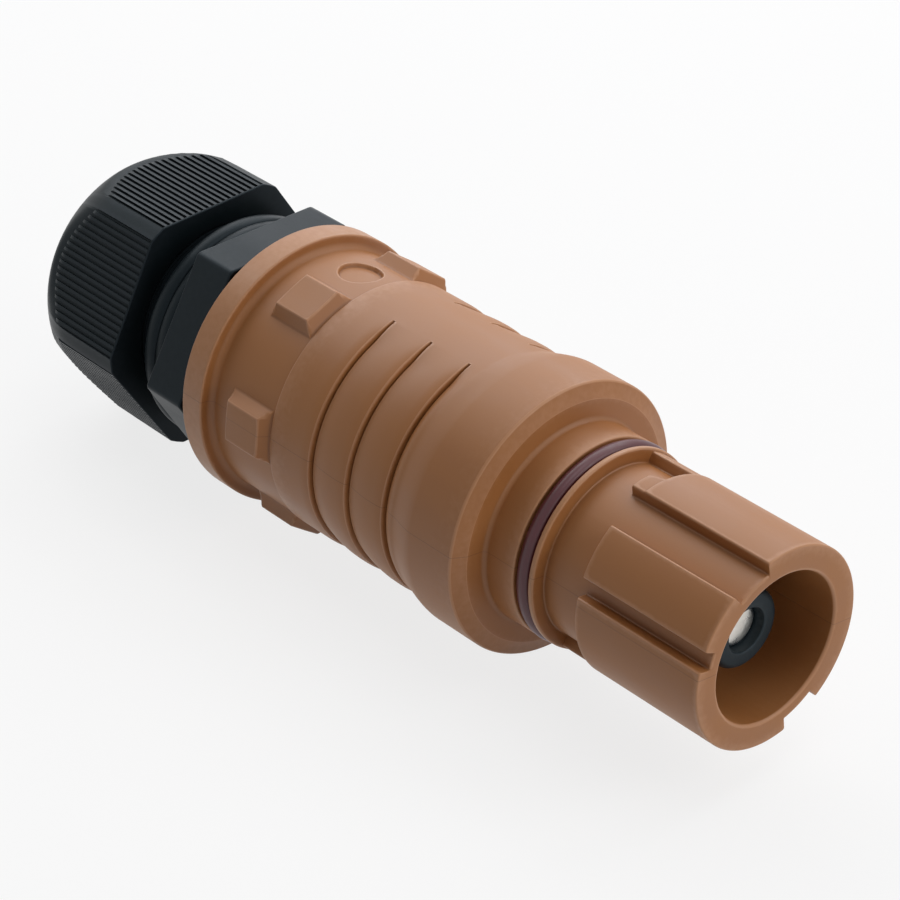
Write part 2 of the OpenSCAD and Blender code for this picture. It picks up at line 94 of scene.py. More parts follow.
class Wiring:
    """Places and links the nodes of one tree."""

    def __init__(self, tree: bpy.types.NodeTree) -> None:
        """Takes the tree.

        Args:
            tree: The tree to fill.
        """
        self.tree = tree

    def add(self, kind: str, values: dict[str | int, Value] | None = None,
            **settings: object) -> bpy.types.Node:
        """Adds a node.

        Args:
            kind: The node's type.
            values: What goes into its inputs, by name or number.
            **settings: The node's own settings.

        Returns:
            The new node.
        """
        node = self.tree.nodes.new(kind)
        node.location = (NODE_GAP * len(self.tree.nodes), 0.0)
        for key, setting in settings.items():
            setattr(node, key, setting)
        for key, value in (values or {}).items():
            self.feed(node.inputs[key], value)
        return node

    def feed(self, socket: bpy.types.NodeSocket, value: Value) -> None:
        """Links a socket to another one, or sets its value.

        Args:
            socket: The input to feed.
            value: An output socket or a plain value.
        """
        if isinstance(value, bpy.types.NodeSocket):
            self.tree.links.new(value, socket)
        else:
            socket.default_value = value

    def math(self, operation: str, *values: Value) -> bpy.types.NodeSocket:
        """Adds a math node.

        Args:
            operation: The sum to do.
            *values: Its numbers, plain or linked.

        Returns:
            The result's socket.
        """
        return self.add("ShaderNodeMath", dict(enumerate(values)), operation=operation).outputs[0]

    def ease(self, value: Value, low: Value, high: Value) -> bpy.types.NodeSocket:
        """Eases a value from 0 at low to 1 at high.

        Args:
            value: The value to ease.
            low: Where the result leaves 0.
            high: Where the result reaches 1.

        Returns:
            The eased value's socket.
        """
        node = self.add("ShaderNodeMapRange", {"Value": value, "From Min": low, "From Max": high},
                        interpolation_type="SMOOTHSTEP")
        return node.outputs["Result"]

    def blend(self, share: Value, first: Value, second: Value) -> bpy.types.NodeSocket:
        """Mixes two colours.

        Args:
            share: The second colour's share.
            first: The first colour.
            second: The second colour.

        Returns:
            The mixed colour's socket.
        """
        node = self.add("ShaderNodeMix", {"Factor": share}, data_type="RGBA")
        self.feed(node.inputs[MIX_FIRST], first)
        self.feed(node.inputs[MIX_SECOND], second)
        return node.outputs[MIX_RESULT]

    def noise(self, place: Value, scale: Value, detail: float = 2.0) -> bpy.types.NodeSocket:
        """Adds a noise texture.

        Args:
            place: The coordinates that it reads.
            scale: Waves per metre.
            detail: Octaves.

        Returns:
            The noise's value socket.
        """
        node = self.add("ShaderNodeTexNoise", {"Vector": place, "Scale": scale, "Detail": detail})
        return node.outputs[0]


class Effects:
    """Shader effects that several finishes share, each built once as a node group."""

    coarse_scale: float = 0.31
    coarse_share: float = 0.6
    flow_stretch: Place = (0.25, 1.0, 1.0)
    streak_scale: float = 3.0
    streak_share: float = 0.45
    tone_range: tuple[float, float] = (0.3, 0.7)
    noise_middle: float = 0.5
    patch_share: float = 0.5
    edge_range: tuple[float, float] = (0.25, 0.95)
    hollow_range: tuple[float, float] = (0.1, 0.9)

    def __init__(self) -> None:
        """Builds the groups."""
        self.grain = self._grain()
        self.wear_and_shading = self._wear_and_shading()
        self.turning = self._turning()

    @staticmethod
    def _open(name: str, inputs: dict[str, str],
              outputs: Sequence[str]) -> tuple[Wiring, bpy.types.Node, bpy.types.Node]:
        """Starts a group.

        Args:
            name: The group's name.
            inputs: Its inputs' names and kinds.
            outputs: Its outputs' names, all plain values.

        Returns:
            The group's wiring, its input node and its output node.
        """
        tree = bpy.data.node_groups.new(name, "ShaderNodeTree")
        for socket, kind in inputs.items():
            tree.interface.new_socket(socket, in_out="INPUT", socket_type=f"NodeSocket{kind}")
        for socket in outputs:
            tree.interface.new_socket(socket, in_out="OUTPUT", socket_type="NodeSocketFloat")
        wiring = Wiring(tree)
        return wiring, wiring.add("NodeGroupInput"), wiring.add("NodeGroupOutput")

    def _grain(self) -> bpy.types.NodeTree:
        """Spark-eroded mould grain, and the cloudy tone of a moulding.

        Returns:
            The group.
        """
        wiring, given, result = self._open(
            "moulded grain", {"Place": "Vector", "Grain": "Float", "Cloud": "Float"}, ("Height", "Tone"))
        place = given.outputs["Place"]
        fine = wiring.noise(place, given.outputs["Grain"], detail=3.0)
        coarse_waves = wiring.math("MULTIPLY", given.outputs["Grain"], self.coarse_scale)
        coarse = wiring.noise(place, coarse_waves, detail=2.0)
        wiring.feed(result.inputs["Height"], wiring.math("MULTIPLY_ADD", coarse, self.coarse_share, fine))
        clouds = wiring.noise(place, given.outputs["Cloud"], detail=4.0)
        flow = wiring.add("ShaderNodeMapping", {"Vector": place, "Scale": self.flow_stretch})
        streak_waves = wiring.math("MULTIPLY", given.outputs["Cloud"], self.streak_scale)
        streaks = wiring.noise(flow.outputs[0], streak_waves, detail=3.0)
        cloudy = wiring.math("MULTIPLY", clouds, 1.0 - self.streak_share)
        tone = wiring.math("MULTIPLY_ADD", streaks, self.streak_share, cloudy)
        wiring.feed(result.inputs["Tone"], wiring.ease(tone, *self.tone_range))
        return wiring.tree

    def _wear_and_shading(self) -> bpy.types.NodeTree:
        """Handling marks and painted highlight on raised edges, and painted shade in corners.

        Returns:
            The group.
        """
        wiring, given, result = self._open(
            "edge wear", {"Place": "Vector", "Crest": "Float", "Scale": "Float"}, ("Edge", "Hollow"))
        # Raised edges: a mask for handling wear, which the nylon finishes also lighten as painted
        # highlight.
        patch = wiring.noise(given.outputs["Place"], given.outputs["Scale"], detail=5.0)
        swing = wiring.math("SUBTRACT", patch, self.noise_middle)
        loose = wiring.math("MULTIPLY_ADD", swing, self.patch_share, given.outputs["Crest"])
        wiring.feed(result.inputs["Edge"], wiring.ease(loose, *self.edge_range))
        # Concave corners: a mask for painted shade.
        sunk = wiring.math("MULTIPLY", given.outputs["Crest"], -1.0)
        wiring.feed(result.inputs["Hollow"], wiring.ease(sunk, *self.hollow_range))
        return wiring.tree

    def _turning(self) -> bpy.types.NodeTree:
        """Fine rings that a lathe leaves, with some of them deeper.

        Returns:
            The group.
        """
        wiring, given, result = self._open(
            "turning marks", {"Place": "Vector", "Pitch": "Float"}, ("Height",))
        apart = wiring.add("ShaderNodeSeparateXYZ", {"Vector": given.outputs["Place"]}).outputs
        across = wiring.math("SQRT", wiring.math(
            "ADD", wiring.math("POWER", apart[1], 2.0), wiring.math("POWER", apart[2], 2.0)))
        along = wiring.math("ADD", across, apart[0])
        line = wiring.add("ShaderNodeCombineXYZ", {0: along})
        rings = wiring.noise(line.outputs[0], given.outputs["Pitch"], detail=3.0)
        wiring.feed(result.inputs["Height"], rings)
        return wiring.tree


@dataclass(frozen=True)
class Finish:
    """What every finish has in common."""

    name: str
    slot: Slot
    colour: Colour
    grain: float = 2200.0
    cloud: float = 40.0
    wear_scale: float = 700.0
    bump: float = 0.5

    def open(self) -> tuple[Wiring, bpy.types.Node, bpy.types.NodeSocket]:
        """Starts the material.

        Returns:
            Its wiring, its surface node and the place on the piece.
        """
        material = bpy.data.materials.new(self.name)
        material.use_nodes = True
        wiring = Wiring(material.node_tree)
        surface = material.node_tree.nodes["Principled BSDF"]
        place = wiring.add("ShaderNodeTexCoord").outputs["Object"]
        return wiring, surface, place

    def group(self, wiring: Wiring, tree: bpy.types.NodeTree, values: dict[str, Value]) -> bpy.types.Node:
        """Places a shared effect.

        Args:
            wiring: The material's wiring.
            tree: The effect.
            values: What goes into it.

        Returns:
            The effect's node.
        """
        node = wiring.add("ShaderNodeGroup", node_tree=tree)
        for key, value in values.items():
            wiring.feed(node.inputs[key], value)
        return node

    def worn_and_shaded(self, wiring: Wiring, effects: Effects,
             place: bpy.types.NodeSocket) -> tuple[bpy.types.Node, bpy.types.Node]:
        """Places the grain, the wear with painted highlight on raised edges, and painted shade in corners.

        Args:
            wiring: The material's wiring.
            effects: The shared effects.
            place: The place on the piece.

        Returns:
            The grain's node and the wear's node.
        """
        crest = wiring.add("ShaderNodeAttribute", attribute_name=CREST).outputs["Fac"]
        grain = self.group(wiring, effects.grain, {
            "Place": place, "Grain": self.grain, "Cloud": self.cloud})
        wear_and_shading = self.group(wiring, effects.wear_and_shading, {
            "Place": place, "Crest": crest, "Scale": self.wear_scale})
        return grain, wear_and_shading

    def close(self, wiring: Wiring, surface: bpy.types.Node, colour: Value, rough: Value, height: Value,
              depth: float) -> bpy.types.Material:
        """Gives the surface its colour, roughness and bump.

        Args:
            wiring: The material's wiring.
            surface: The surface node.
            colour: The colour's socket.
            rough: The roughness' socket.
            height: The height's socket.
            depth: What a height of 1 stands for, in millimetres.

        Returns:
            The material.
        """
        bump = wiring.add("ShaderNodeBump", {
            "Height": height, "Distance": depth * MM, "Strength": self.bump})
        wiring.feed(surface.inputs["Base Color"], colour)
        wiring.feed(surface.inputs["Roughness"], rough)
        wiring.feed(surface.inputs["Normal"], bump.outputs["Normal"])
        return bpy.data.materials[self.name]


@dataclass(frozen=True)
class MouldedNylon(Finish):
    """Satin moulded nylon with a fine grain, rubbed edges with painted highlight, painted shade in corners
    and the mould's parting line.
    """

    cloud_colour: Colour = (0.0, 0.0, 0.0, 1.0)
    edge_wear_and_highlight_colour: Colour = (0.0, 0.0, 0.0, 1.0)
    edge_share: float = 0.4
    corner_shade_share: float = 0.35
    roughness: float = 0.4
    roughness_spread: float = 0.12
    grain_depth: float = 0.02
    parting_angle: float | None = None
    parting_width: float = 0.11
    parting_core: float = 0.3
    parting_tone: float = 0.45
    parting_height: float = 2.5
    shade: float = 0.35
    polish: float = 0.15
    gloss: float = 0.5
    gloss_tint: Colour = (1.0, 1.0, 1.0, 1.0)

    def parting(self, wiring: Wiring, place: bpy.types.NodeSocket) -> bpy.types.NodeSocket:
        """Finds the thin line where the mould's halves met.

        Args:
            wiring: The material's wiring.
            place: The place on the piece.

        Returns:
            A mask that is 1 on the line.
        """
        turn = math.radians(self.parting_angle)
        across = (0.0, math.cos(turn), -math.sin(turn))
        offset = wiring.add(
            "ShaderNodeVectorMath", {0: place, 1: across}, operation="DOT_PRODUCT").outputs["Value"]
        away = wiring.math("ABSOLUTE", offset)
        width = self.parting_width * MM
        return wiring.math("SUBTRACT", 1.0, wiring.ease(away, self.parting_core * width, width))

    def material(self, effects: Effects) -> bpy.types.Material:
        """Builds the material.

        Args:
            effects: The shared effects.

        Returns:
            The material.
        """
        wiring, surface, place = self.open()
        grain, wear_and_shading = self.worn_and_shaded(wiring, effects, place)
        colour = wiring.blend(grain.outputs["Tone"], self.colour, self.cloud_colour)
        # Lighter raised edges: handling wear with a painted highlight.
        rubbed_and_lit = wiring.math("MULTIPLY", wear_and_shading.outputs["Edge"], self.edge_share)
        colour = wiring.blend(rubbed_and_lit, colour, self.edge_wear_and_highlight_colour)
        # Darker concave corners: painted shade.
        sunk = wiring.math("MULTIPLY", wear_and_shading.outputs["Hollow"], self.corner_shade_share)
        dark = tuple(self.shade * part for part in self.colour[:3]) + (1.0,)
        colour = wiring.blend(sunk, colour, dark)
        height = grain.outputs["Height"]
        if self.parting_angle is not None:
            line = self.parting(wiring, place)
            colour = wiring.blend(wiring.math("MULTIPLY", line, self.parting_tone), colour, dark)
            height = wiring.math("MULTIPLY_ADD", line, self.parting_height, height)
        rough = wiring.math("MULTIPLY_ADD", grain.outputs["Tone"], self.roughness_spread, self.roughness)
        rough = wiring.math("MULTIPLY_ADD", rubbed_and_lit, -self.polish, rough)
        surface.inputs["Specular IOR Level"].default_value = self.gloss
        surface.inputs["Specular Tint"].default_value = self.gloss_tint
        return self.close(wiring, surface, colour, rough, height, self.grain_depth)


@dataclass(frozen=True)
class MouldedRubber(Finish):
    """Moulded rubber with a bloom of fine dust, and painted shade in corners."""

    bloom_colour: Colour = (0.05, 0.05, 0.05, 1.0)
    bloom_share: float = 0.3
    bloom_roughness: float = 0.6
    corner_shade_colour: Colour = (0.004, 0.003, 0.003, 1.0)
    corner_shade_share: float = 0.5
    roughness: float = 0.45
    grain: float = 3500.0
    grain_depth: float = 0.012
    cloud: float = 120.0
    wear_scale: float = 1500.0
    bump: float = 0.4

    def material(self, effects: Effects) -> bpy.types.Material:
        """Builds the material.

        Args:
            effects: The shared effects.

        Returns:
            The material.
        """
        wiring, surface, place = self.open()
        grain, wear_and_shading = self.worn_and_shaded(wiring, effects, place)
        bloom = wiring.math("MULTIPLY", grain.outputs["Tone"], self.bloom_share)
        colour = wiring.blend(bloom, self.colour, self.bloom_colour)
        # Darker concave corners: painted shade.
        sunk = wiring.math("MULTIPLY", wear_and_shading.outputs["Hollow"], self.corner_shade_share)
        colour = wiring.blend(sunk, colour, self.corner_shade_colour)
        rough = wiring.math("MULTIPLY_ADD", bloom, self.bloom_roughness, self.roughness)
        return self.close(wiring, surface, colour, rough, grain.outputs["Height"], self.grain_depth)


@dataclass(frozen=True)
class TurnedMetal(Finish):
    """Turned metal, plated or phosphated, with tarnish in patches."""

    tarnish_colour: Colour = (0.3, 0.28, 0.25, 1.0)
    tarnish_share: float = 0.4
    tarnish_roughness: float = 0.4
    roughness: float = 0.28
    pitch: float = 2600.0
    turning_depth: float = 0.03
    grain: float = 4000.0
    cloud: float = 300.0
    wear_scale: float = 1200.0
    brighter: float = 1.25
    bump: float = 0.6

    def material(self, effects: Effects) -> bpy.types.Material:
        """Builds the material.

        Args:
            effects: The shared effects.

        Returns:
            The material.
        """
        wiring, surface, place = self.open()
        turning = self.group(wiring, effects.turning, {"Place": place, "Pitch": self.pitch})
        grain, wear_and_shading = self.worn_and_shaded(wiring, effects, place)
        patch = wiring.math("MULTIPLY", grain.outputs["Tone"], self.tarnish_share)
        colour = wiring.blend(patch, self.colour, self.tarnish_colour)
        bright = tuple(min(1.0, self.brighter * part) for part in self.colour[:3]) + (1.0,)
        colour = wiring.blend(wear_and_shading.outputs["Edge"], colour, bright)
        surface.inputs["Metallic"].default_value = 1.0
        rough = wiring.math("MULTIPLY_ADD", patch, self.tarnish_roughness, self.roughness)
        return self.close(wiring, surface, colour, rough, turning.outputs["Height"], self.turning_depth)


@dataclass
class FinishRack:
    """All finishes of the connector, made once."""

    # The nylons' lighter edge colours are edge wear with a painted highlight.
    brown_nylon: MouldedNylon = MouldedNylon(
        "brown nylon", Slot.BROWN_NYLON, (0.322, 0.124, 0.034, 1.0),
        cloud_colour=(0.350, 0.141, 0.042, 1.0), edge_wear_and_highlight_colour=(0.52, 0.26, 0.13, 1.0), edge_share=0.55,
        roughness=0.43, parting_angle=-82.0)
    black_nylon: MouldedNylon = MouldedNylon(
        "black nylon", Slot.BLACK_NYLON, (0.0036, 0.0058, 0.0068, 1.0),
        cloud_colour=(0.0050, 0.0076, 0.0090, 1.0), edge_wear_and_highlight_colour=(0.022, 0.028, 0.034, 1.0), edge_share=0.3,
        roughness=0.36, grain=2600.0, grain_depth=0.015, gloss=0.14, gloss_tint=(0.68, 0.86, 1.0, 1.0))
    guard_nylon: MouldedNylon = MouldedNylon(
        "guard nylon", Slot.BLACK_NYLON, (0.0060, 0.0110, 0.0140, 1.0),
        cloud_colour=(0.0080, 0.0140, 0.0175, 1.0), edge_wear_and_highlight_colour=(0.03, 0.04, 0.045, 1.0), edge_share=0.3,
        roughness=0.42, gloss=0.25, gloss_tint=(0.75, 0.88, 1.0, 1.0))
    red_rubber: MouldedRubber = MouldedRubber(
        "red rubber", Slot.RED_RUBBER, (0.070, 0.008, 0.014, 1.0), bloom_colour=(0.10, 0.025, 0.032, 1.0),
        roughness=0.3)
    black_rubber: MouldedRubber = MouldedRubber(
        "black rubber", Slot.BLACK_RUBBER, (0.012, 0.012, 0.012, 1.0))
    plated_brass: TurnedMetal = TurnedMetal(
        "silver plate", Slot.PLATED_BRASS, (0.90, 0.88, 0.83, 1.0), tarnish_colour=(0.68, 0.64, 0.56, 1.0),
        roughness=0.24)
    spring_steel: TurnedMetal = TurnedMetal(
        "phosphated steel", Slot.SPRING_STEEL, (0.22, 0.225, 0.23, 1.0),
        tarnish_colour=(0.10, 0.10, 0.10, 1.0), roughness=0.42)
    made: dict[str, bpy.types.Material] = field(default_factory=dict)

    def get(self, finish: Finish, effects: Effects) -> bpy.types.Material:
        """Returns a finish's material, which is built on first use.

        Args:
            finish: The finish.
            effects: The shared effects.

        Returns:
            The material.
        """
        if finish.name not in self.made:
            self.made[finish.name] = finish.material(effects)
        return self.made[finish.name]


def rounded(corners: Sequence[Corner], closed: bool = True, segments: int = 4) -> np.ndarray:
    """Rounds the corners of a half section.

    Args:
        corners: Depth, radius and fillet of each corner.
        closed: Whether the last corner joins the first.
        segments: Flats in each fillet.

    Returns:
        The section's points, as rows of depth and radius.
    """
    points: list[np.ndarray] = []
    last = len(corners) - 1
    for k, (depth, radius, fillet) in enumerate(corners):
        here = np.array((depth, radius))
        if fillet <= 0.0 or (not closed and k in (0, last)):
            points.append(here)
            continue
        back = np.array(corners[k - 1][:2]) - here
        ahead = np.array(corners[(k + 1) % len(corners)][:2]) - here
        room = FILLET_ROOM * min(np.linalg.norm(back), np.linalg.norm(ahead))
        back /= np.linalg.norm(back)
        ahead /= np.linalg.norm(ahead)
        half = math.acos(float(np.clip(back @ ahead, -1.0, 1.0))) / 2.0
        reach = min(fillet / math.tan(half), room)
        size = reach * math.tan(half)
        middle = here + (back + ahead) / np.linalg.norm(back + ahead) * size / math.sin(half)
        start = here + back * reach - middle
        end = here + ahead * reach - middle
        sweep = math.pi - 2.0 * half
        for share in np.linspace(0.0, 1.0, segments + 1):
            mixed = math.sin((1.0 - share) * sweep) * start + math.sin(share * sweep) * end
            points.append(middle + mixed / math.sin(sweep))
    return np.array(points)


def soft_max(first: np.ndarray, second: np.ndarray, blend: float) -> np.ndarray:
    """Takes the larger of two heights, with a fillet where they meet.

    Args:
        first: The first height.
        second: The second height.
        blend: How near they come before the fillet starts.

    Returns:
        The filleted height.
    """
    near = np.maximum(blend - np.abs(first - second), 0.0) / blend
    return np.maximum(first, second) + near * near * blend / 4.0


def soft_min(first: np.ndarray, second: np.ndarray, blend: float) -> np.ndarray:
    """Takes the smaller of two heights, with a rounding where they meet.

    Args:
        first: The first height.
        second: The second height.
        blend: How near they come before the rounding starts.

    Returns:
        The rounded height.
    """
    return -soft_max(-first, -second, blend)


def ease(value: np.ndarray, low: float, high: float) -> np.ndarray:
    """Eases from 0 at low to 1 at high.

    Args:
        value: The values to ease.
        low: Where the result leaves 0.
        high: Where the result reaches 1.

    Returns:
        The eased values.
    """
    share = np.clip((value - low) / (high - low), 0.0, 1.0)
    return share * share * (3.0 - 2.0 * share)


def filled(lines: Sequence[float] | np.ndarray, gap: float, low: float, high: float) -> np.ndarray:
    """Sorts grid lines and adds more where they lie too far apart.

    Args:
        lines: The lines that have to be there.
        gap: The widest gap that is left.
        low: The first line.
        high: The last line.

    Returns:
        All lines, in order.
    """
    kept = np.unique(np.round(np.append(np.asarray(lines, float), (low, high)), LINE_DIGITS))
    kept = kept[(kept >= low) & (kept <= high)]
    pieces = [np.linspace(a, b, max(1, math.ceil((b - a) / gap)) + 1)[:-1] for a, b in zip(kept, kept[1:])]
    return np.append(np.concatenate(pieces), high)


def quarter(flats: int) -> np.ndarray:
    """Divides a quarter turn.

    Args:
        flats: How many flats it has.

    Returns:
        Their ends' angles in radians, from 0 on.
    """
    return np.radians(np.linspace(0.0, 90.0, flats + 1))


@dataclass(frozen=True)
class EdgeStep:
    """The section through a raised edge, from its foot to its top."""

    height: float
    foot: float = 0.35
    crown: float = 0.4
    draft: float = 2.5
    flats: int = 4

    def section(self) -> tuple[np.ndarray, np.ndarray]:
        """Draws the foot's fillet, the wall and the rounded top edge.

        Returns:
            How far along each point lies, and its share of the height.
        """
        bend = quarter(self.flats)
        lean = (self.height - self.foot - self.crown) * math.tan(math.radians(self.draft))
        out, up = 1.0 - np.sin(bend), 1.0 - np.cos(bend)
        along = np.concatenate((-self.foot * out, lean + self.crown * up))
        rise = np.concatenate((self.foot * up, self.height - self.crown * out))
        return along, rise / self.height

    def share(self, along: np.ndarray) -> np.ndarray:
        """Reads the section.

        Args:
            along: Distances past the edge, towards the high side.

        Returns:
            The share of the height there.
        """
        return np.interp(along, *self.section())


class Skin:
    """Closed grids of points round the axis, which become one mesh."""

    def __init__(self) -> None:
        """Starts with no points."""
        self.points: list[np.ndarray] = []
        self.quads: list[np.ndarray] = []
        self.total = 0

    def wrap(self, depth: np.ndarray, radius: np.ndarray, angle: np.ndarray, loop: bool = True) -> "Skin":
        """Adds a grid that runs round the axis.

        Args:
            depth: Each row's depth, with the outside's rows from front to rear.
            radius: Each point's radius, rows by columns.
            angle: Each column's angle.
            loop: Whether the last row joins the first.

        Returns:
            The skin itself.
        """
        depth, radius, angle = np.broadcast_arrays(depth, radius, angle)
        turn = np.radians(angle)
        grid = np.stack((-depth, radius * np.sin(turn), radius * np.cos(turn)), axis=-1) * MM
        index = np.arange(radius.size).reshape(radius.shape) + self.total
        here = index if loop else index[:-1]
        below = np.roll(index, -1, axis=0) if loop else index[1:]
        quads = np.stack((here, np.roll(here, -1, axis=1), np.roll(below, -1, axis=1), below), axis=-1)
        self.points.append(grid.reshape(-1, 3))
        self.quads.append(quads.reshape(-1, 4))
        self.total += radius.size
        return self

    def turn(self, section: np.ndarray, columns: int, loop: bool) -> "Skin":
        """Adds a plain turned solid.

        Args:
            section: Rows of depth and radius.
            columns: Flats round the axis.
            loop: Whether the section is closed by itself, and not by the axis.

        Returns:
            The skin itself.
        """
        angle = np.arange(columns) * WHOLE_TURN / columns
        return self.wrap(section[:, :1], np.repeat(section[:, 1:], columns, axis=1), angle[None, :], loop)

    def mesh(self, name: str) -> bpy.types.Mesh:
        """Makes the mesh, with the points on the axis merged.

        Args:
            name: The mesh's name.

        Returns:
            The mesh.
        """
        mesh = bpy.data.meshes.new(name)
        mesh.from_pydata(np.concatenate(self.points).tolist(), [], np.concatenate(self.quads).tolist())
        work = bmesh.new()
        work.from_mesh(mesh)
        poles = [point for point in work.verts if math.hypot(point.co.y, point.co.z) < POLE_R]
        bmesh.ops.remove_doubles(work, verts=poles, dist=POLE_R)
        work.to_mesh(mesh)
        work.free()
        return mesh


def plain_mesh(maker: bpy.types.Object, name: str) -> bpy.types.Mesh:
    """Turns an object with modifiers into a plain mesh and removes the object.

    Args:
        maker: The object.
        name: The mesh's name.

    Returns:
        The evaluated mesh.
    """
    view = bpy.context.evaluated_depsgraph_get()
    mesh = bpy.data.meshes.new_from_object(maker.evaluated_get(view), depsgraph=view)
    mesh.name = name
    bpy.data.objects.remove(maker)
    return mesh


class Pattern:
    """A geometry node tree with named sizes, which adds repeated forms to a base mesh."""

    def __init__(self, name: str, sizes: dict[str, float | int]) -> None:
        """Makes the tree's inputs.

        Args:
            name: The tree's name.
            sizes: Its named sizes, lengths in millimetres and counts as whole numbers.
        """
        self.tree = bpy.data.node_groups.new(name, "GeometryNodeTree")
        self.values: dict[str, float | int] = {}
        face = self.tree.interface
        face.new_socket("Base", in_out="INPUT", socket_type="NodeSocketGeometry")
        for size, value in sizes.items():
            whole = isinstance(value, int)
            kind = "NodeSocketInt" if whole else "NodeSocketFloat"
            face.new_socket(size, in_out="INPUT", socket_type=kind)
            self.values[size] = value if whole else value * MM
        face.new_socket("Finish", in_out="INPUT", socket_type="NodeSocketMaterial")
        face.new_socket("Piece", in_out="OUTPUT", socket_type="NodeSocketGeometry")
        self.wiring = Wiring(self.tree)
        self.given = self.wiring.add("NodeGroupInput").outputs

    def around(self, shape: bpy.types.NodeSocket, count: Value, axis: int) -> bpy.types.NodeSocket:
        """Repeats a shape round an axis.

        Args:
            shape: The shape's geometry.
            count: How many copies.
            axis: The axis' number, 0 for X and 2 for Z.

        Returns:
            The copies, as real geometry.
        """
        wiring = self.wiring
        dots = wiring.add("GeometryNodeMeshLine", {"Count": count, "Offset": (0.0, 0.0, 0.0)})
        step = wiring.math("DIVIDE", math.tau, count)
        turn = wiring.math("MULTIPLY", wiring.add("GeometryNodeInputIndex").outputs[0], step)
        spin = wiring.add("ShaderNodeCombineXYZ", {axis: turn})
        copies = wiring.add("GeometryNodeInstanceOnPoints", {"Points": dots.outputs[0], "Instance": shape})
        wiring.feed(copies.inputs["Rotation"], spin.outputs[0])
        return wiring.add("GeometryNodeRealizeInstances", {"Geometry": copies.outputs[0]}).outputs[0]

    def on_axis(self, shape: bpy.types.NodeSocket, depth: Value) -> bpy.types.NodeSocket:
        """Lays a shape that was made along Z on the connector's axis.

        Args:
            shape: The shape's geometry.
            depth: Where its foot lies behind the mouth.

        Returns:
            The shape in its place.
        """
        wiring = self.wiring
        place = wiring.add("ShaderNodeCombineXYZ", {0: wiring.math("MULTIPLY", depth, -1.0)})
        tip_over = (0.0, -math.pi / 2.0, 0.0)
        node = wiring.add("GeometryNodeTransform", {"Geometry": shape, "Rotation": tip_over})
        wiring.feed(node.inputs["Translation"], place.outputs[0])
        return node.outputs[0]

    def close(self, shape: bpy.types.NodeSocket) -> None:
        """Joins the forms to the base and sets their finish.

        Args:
            shape: The repeated forms.
        """
        wiring = self.wiring
        joined = wiring.add("GeometryNodeJoinGeometry")
        wiring.feed(joined.inputs[0], self.given["Base"])
        wiring.feed(joined.inputs[0], shape)
        real = wiring.add("GeometryNodeRealizeInstances", {"Geometry": joined.outputs[0]})
        dressed = wiring.add("GeometryNodeSetMaterial", {
            "Geometry": real.outputs[0], "Material": self.given["Finish"]})
        result = wiring.add("NodeGroupOutput")
        wiring.feed(result.inputs["Piece"], dressed.outputs[0])

    def grow(self, base: bpy.types.Mesh, material: bpy.types.Material) -> bpy.types.Mesh:
        """Runs the tree on a base mesh.

        Args:
            base: The mesh that carries the forms.
            material: The finish.

        Returns:
            The plain mesh of base and forms.
        """
        maker = bpy.data.objects.new(base.name, base)
        bpy.context.scene.collection.objects.link(maker)
        modifier = maker.modifiers.new(self.tree.name, "NODES")
        modifier.node_group = self.tree
        values = {**self.values, "Finish": material}
        for item in self.tree.interface.items_tree:
            if item.in_out == "INPUT" and item.name in values:
                modifier[item.identifier] = values[item.name]
        return plain_mesh(maker, base.name)


def mark_crests(mesh: bpy.types.Mesh) -> None:
    """Stores how sharply the surface bulges at each point, from -1 in a corner to 1 on an edge.

    Args:
        mesh: The mesh to mark.
    """
    full_bend = 1400.0
    count = len(mesh.vertices)
    points = np.empty(count * 3)
    mesh.vertices.foreach_get("co", points)
    points = points.reshape(-1, 3)
    normals = np.empty(count * 3)
    mesh.vertex_normals.foreach_get("vector", normals)
    normals = normals.reshape(-1, 3)
    ends = np.empty(len(mesh.edges) * 2, dtype=np.int64)
    mesh.edges.foreach_get("vertices", ends)
    first, second = ends.reshape(-1, 2).T
    span = points[second] - points[first]
    length = np.maximum(np.linalg.norm(span, axis=1), SHORTEST_EDGE)
    bend = ((normals[second] - normals[first]) * span).sum(axis=1) / length**2
    total = np.bincount(first, bend, count) + np.bincount(second, bend, count)
    edges = np.bincount(first, minlength=count) + np.bincount(second, minlength=count)
    crest = np.clip(total / np.maximum(edges, 1) / full_bend * 2.0, -1.0, 1.0)
    mesh.attributes.new(CREST, "FLOAT", "POINT").data.foreach_set("value", crest.astype(np.float32))


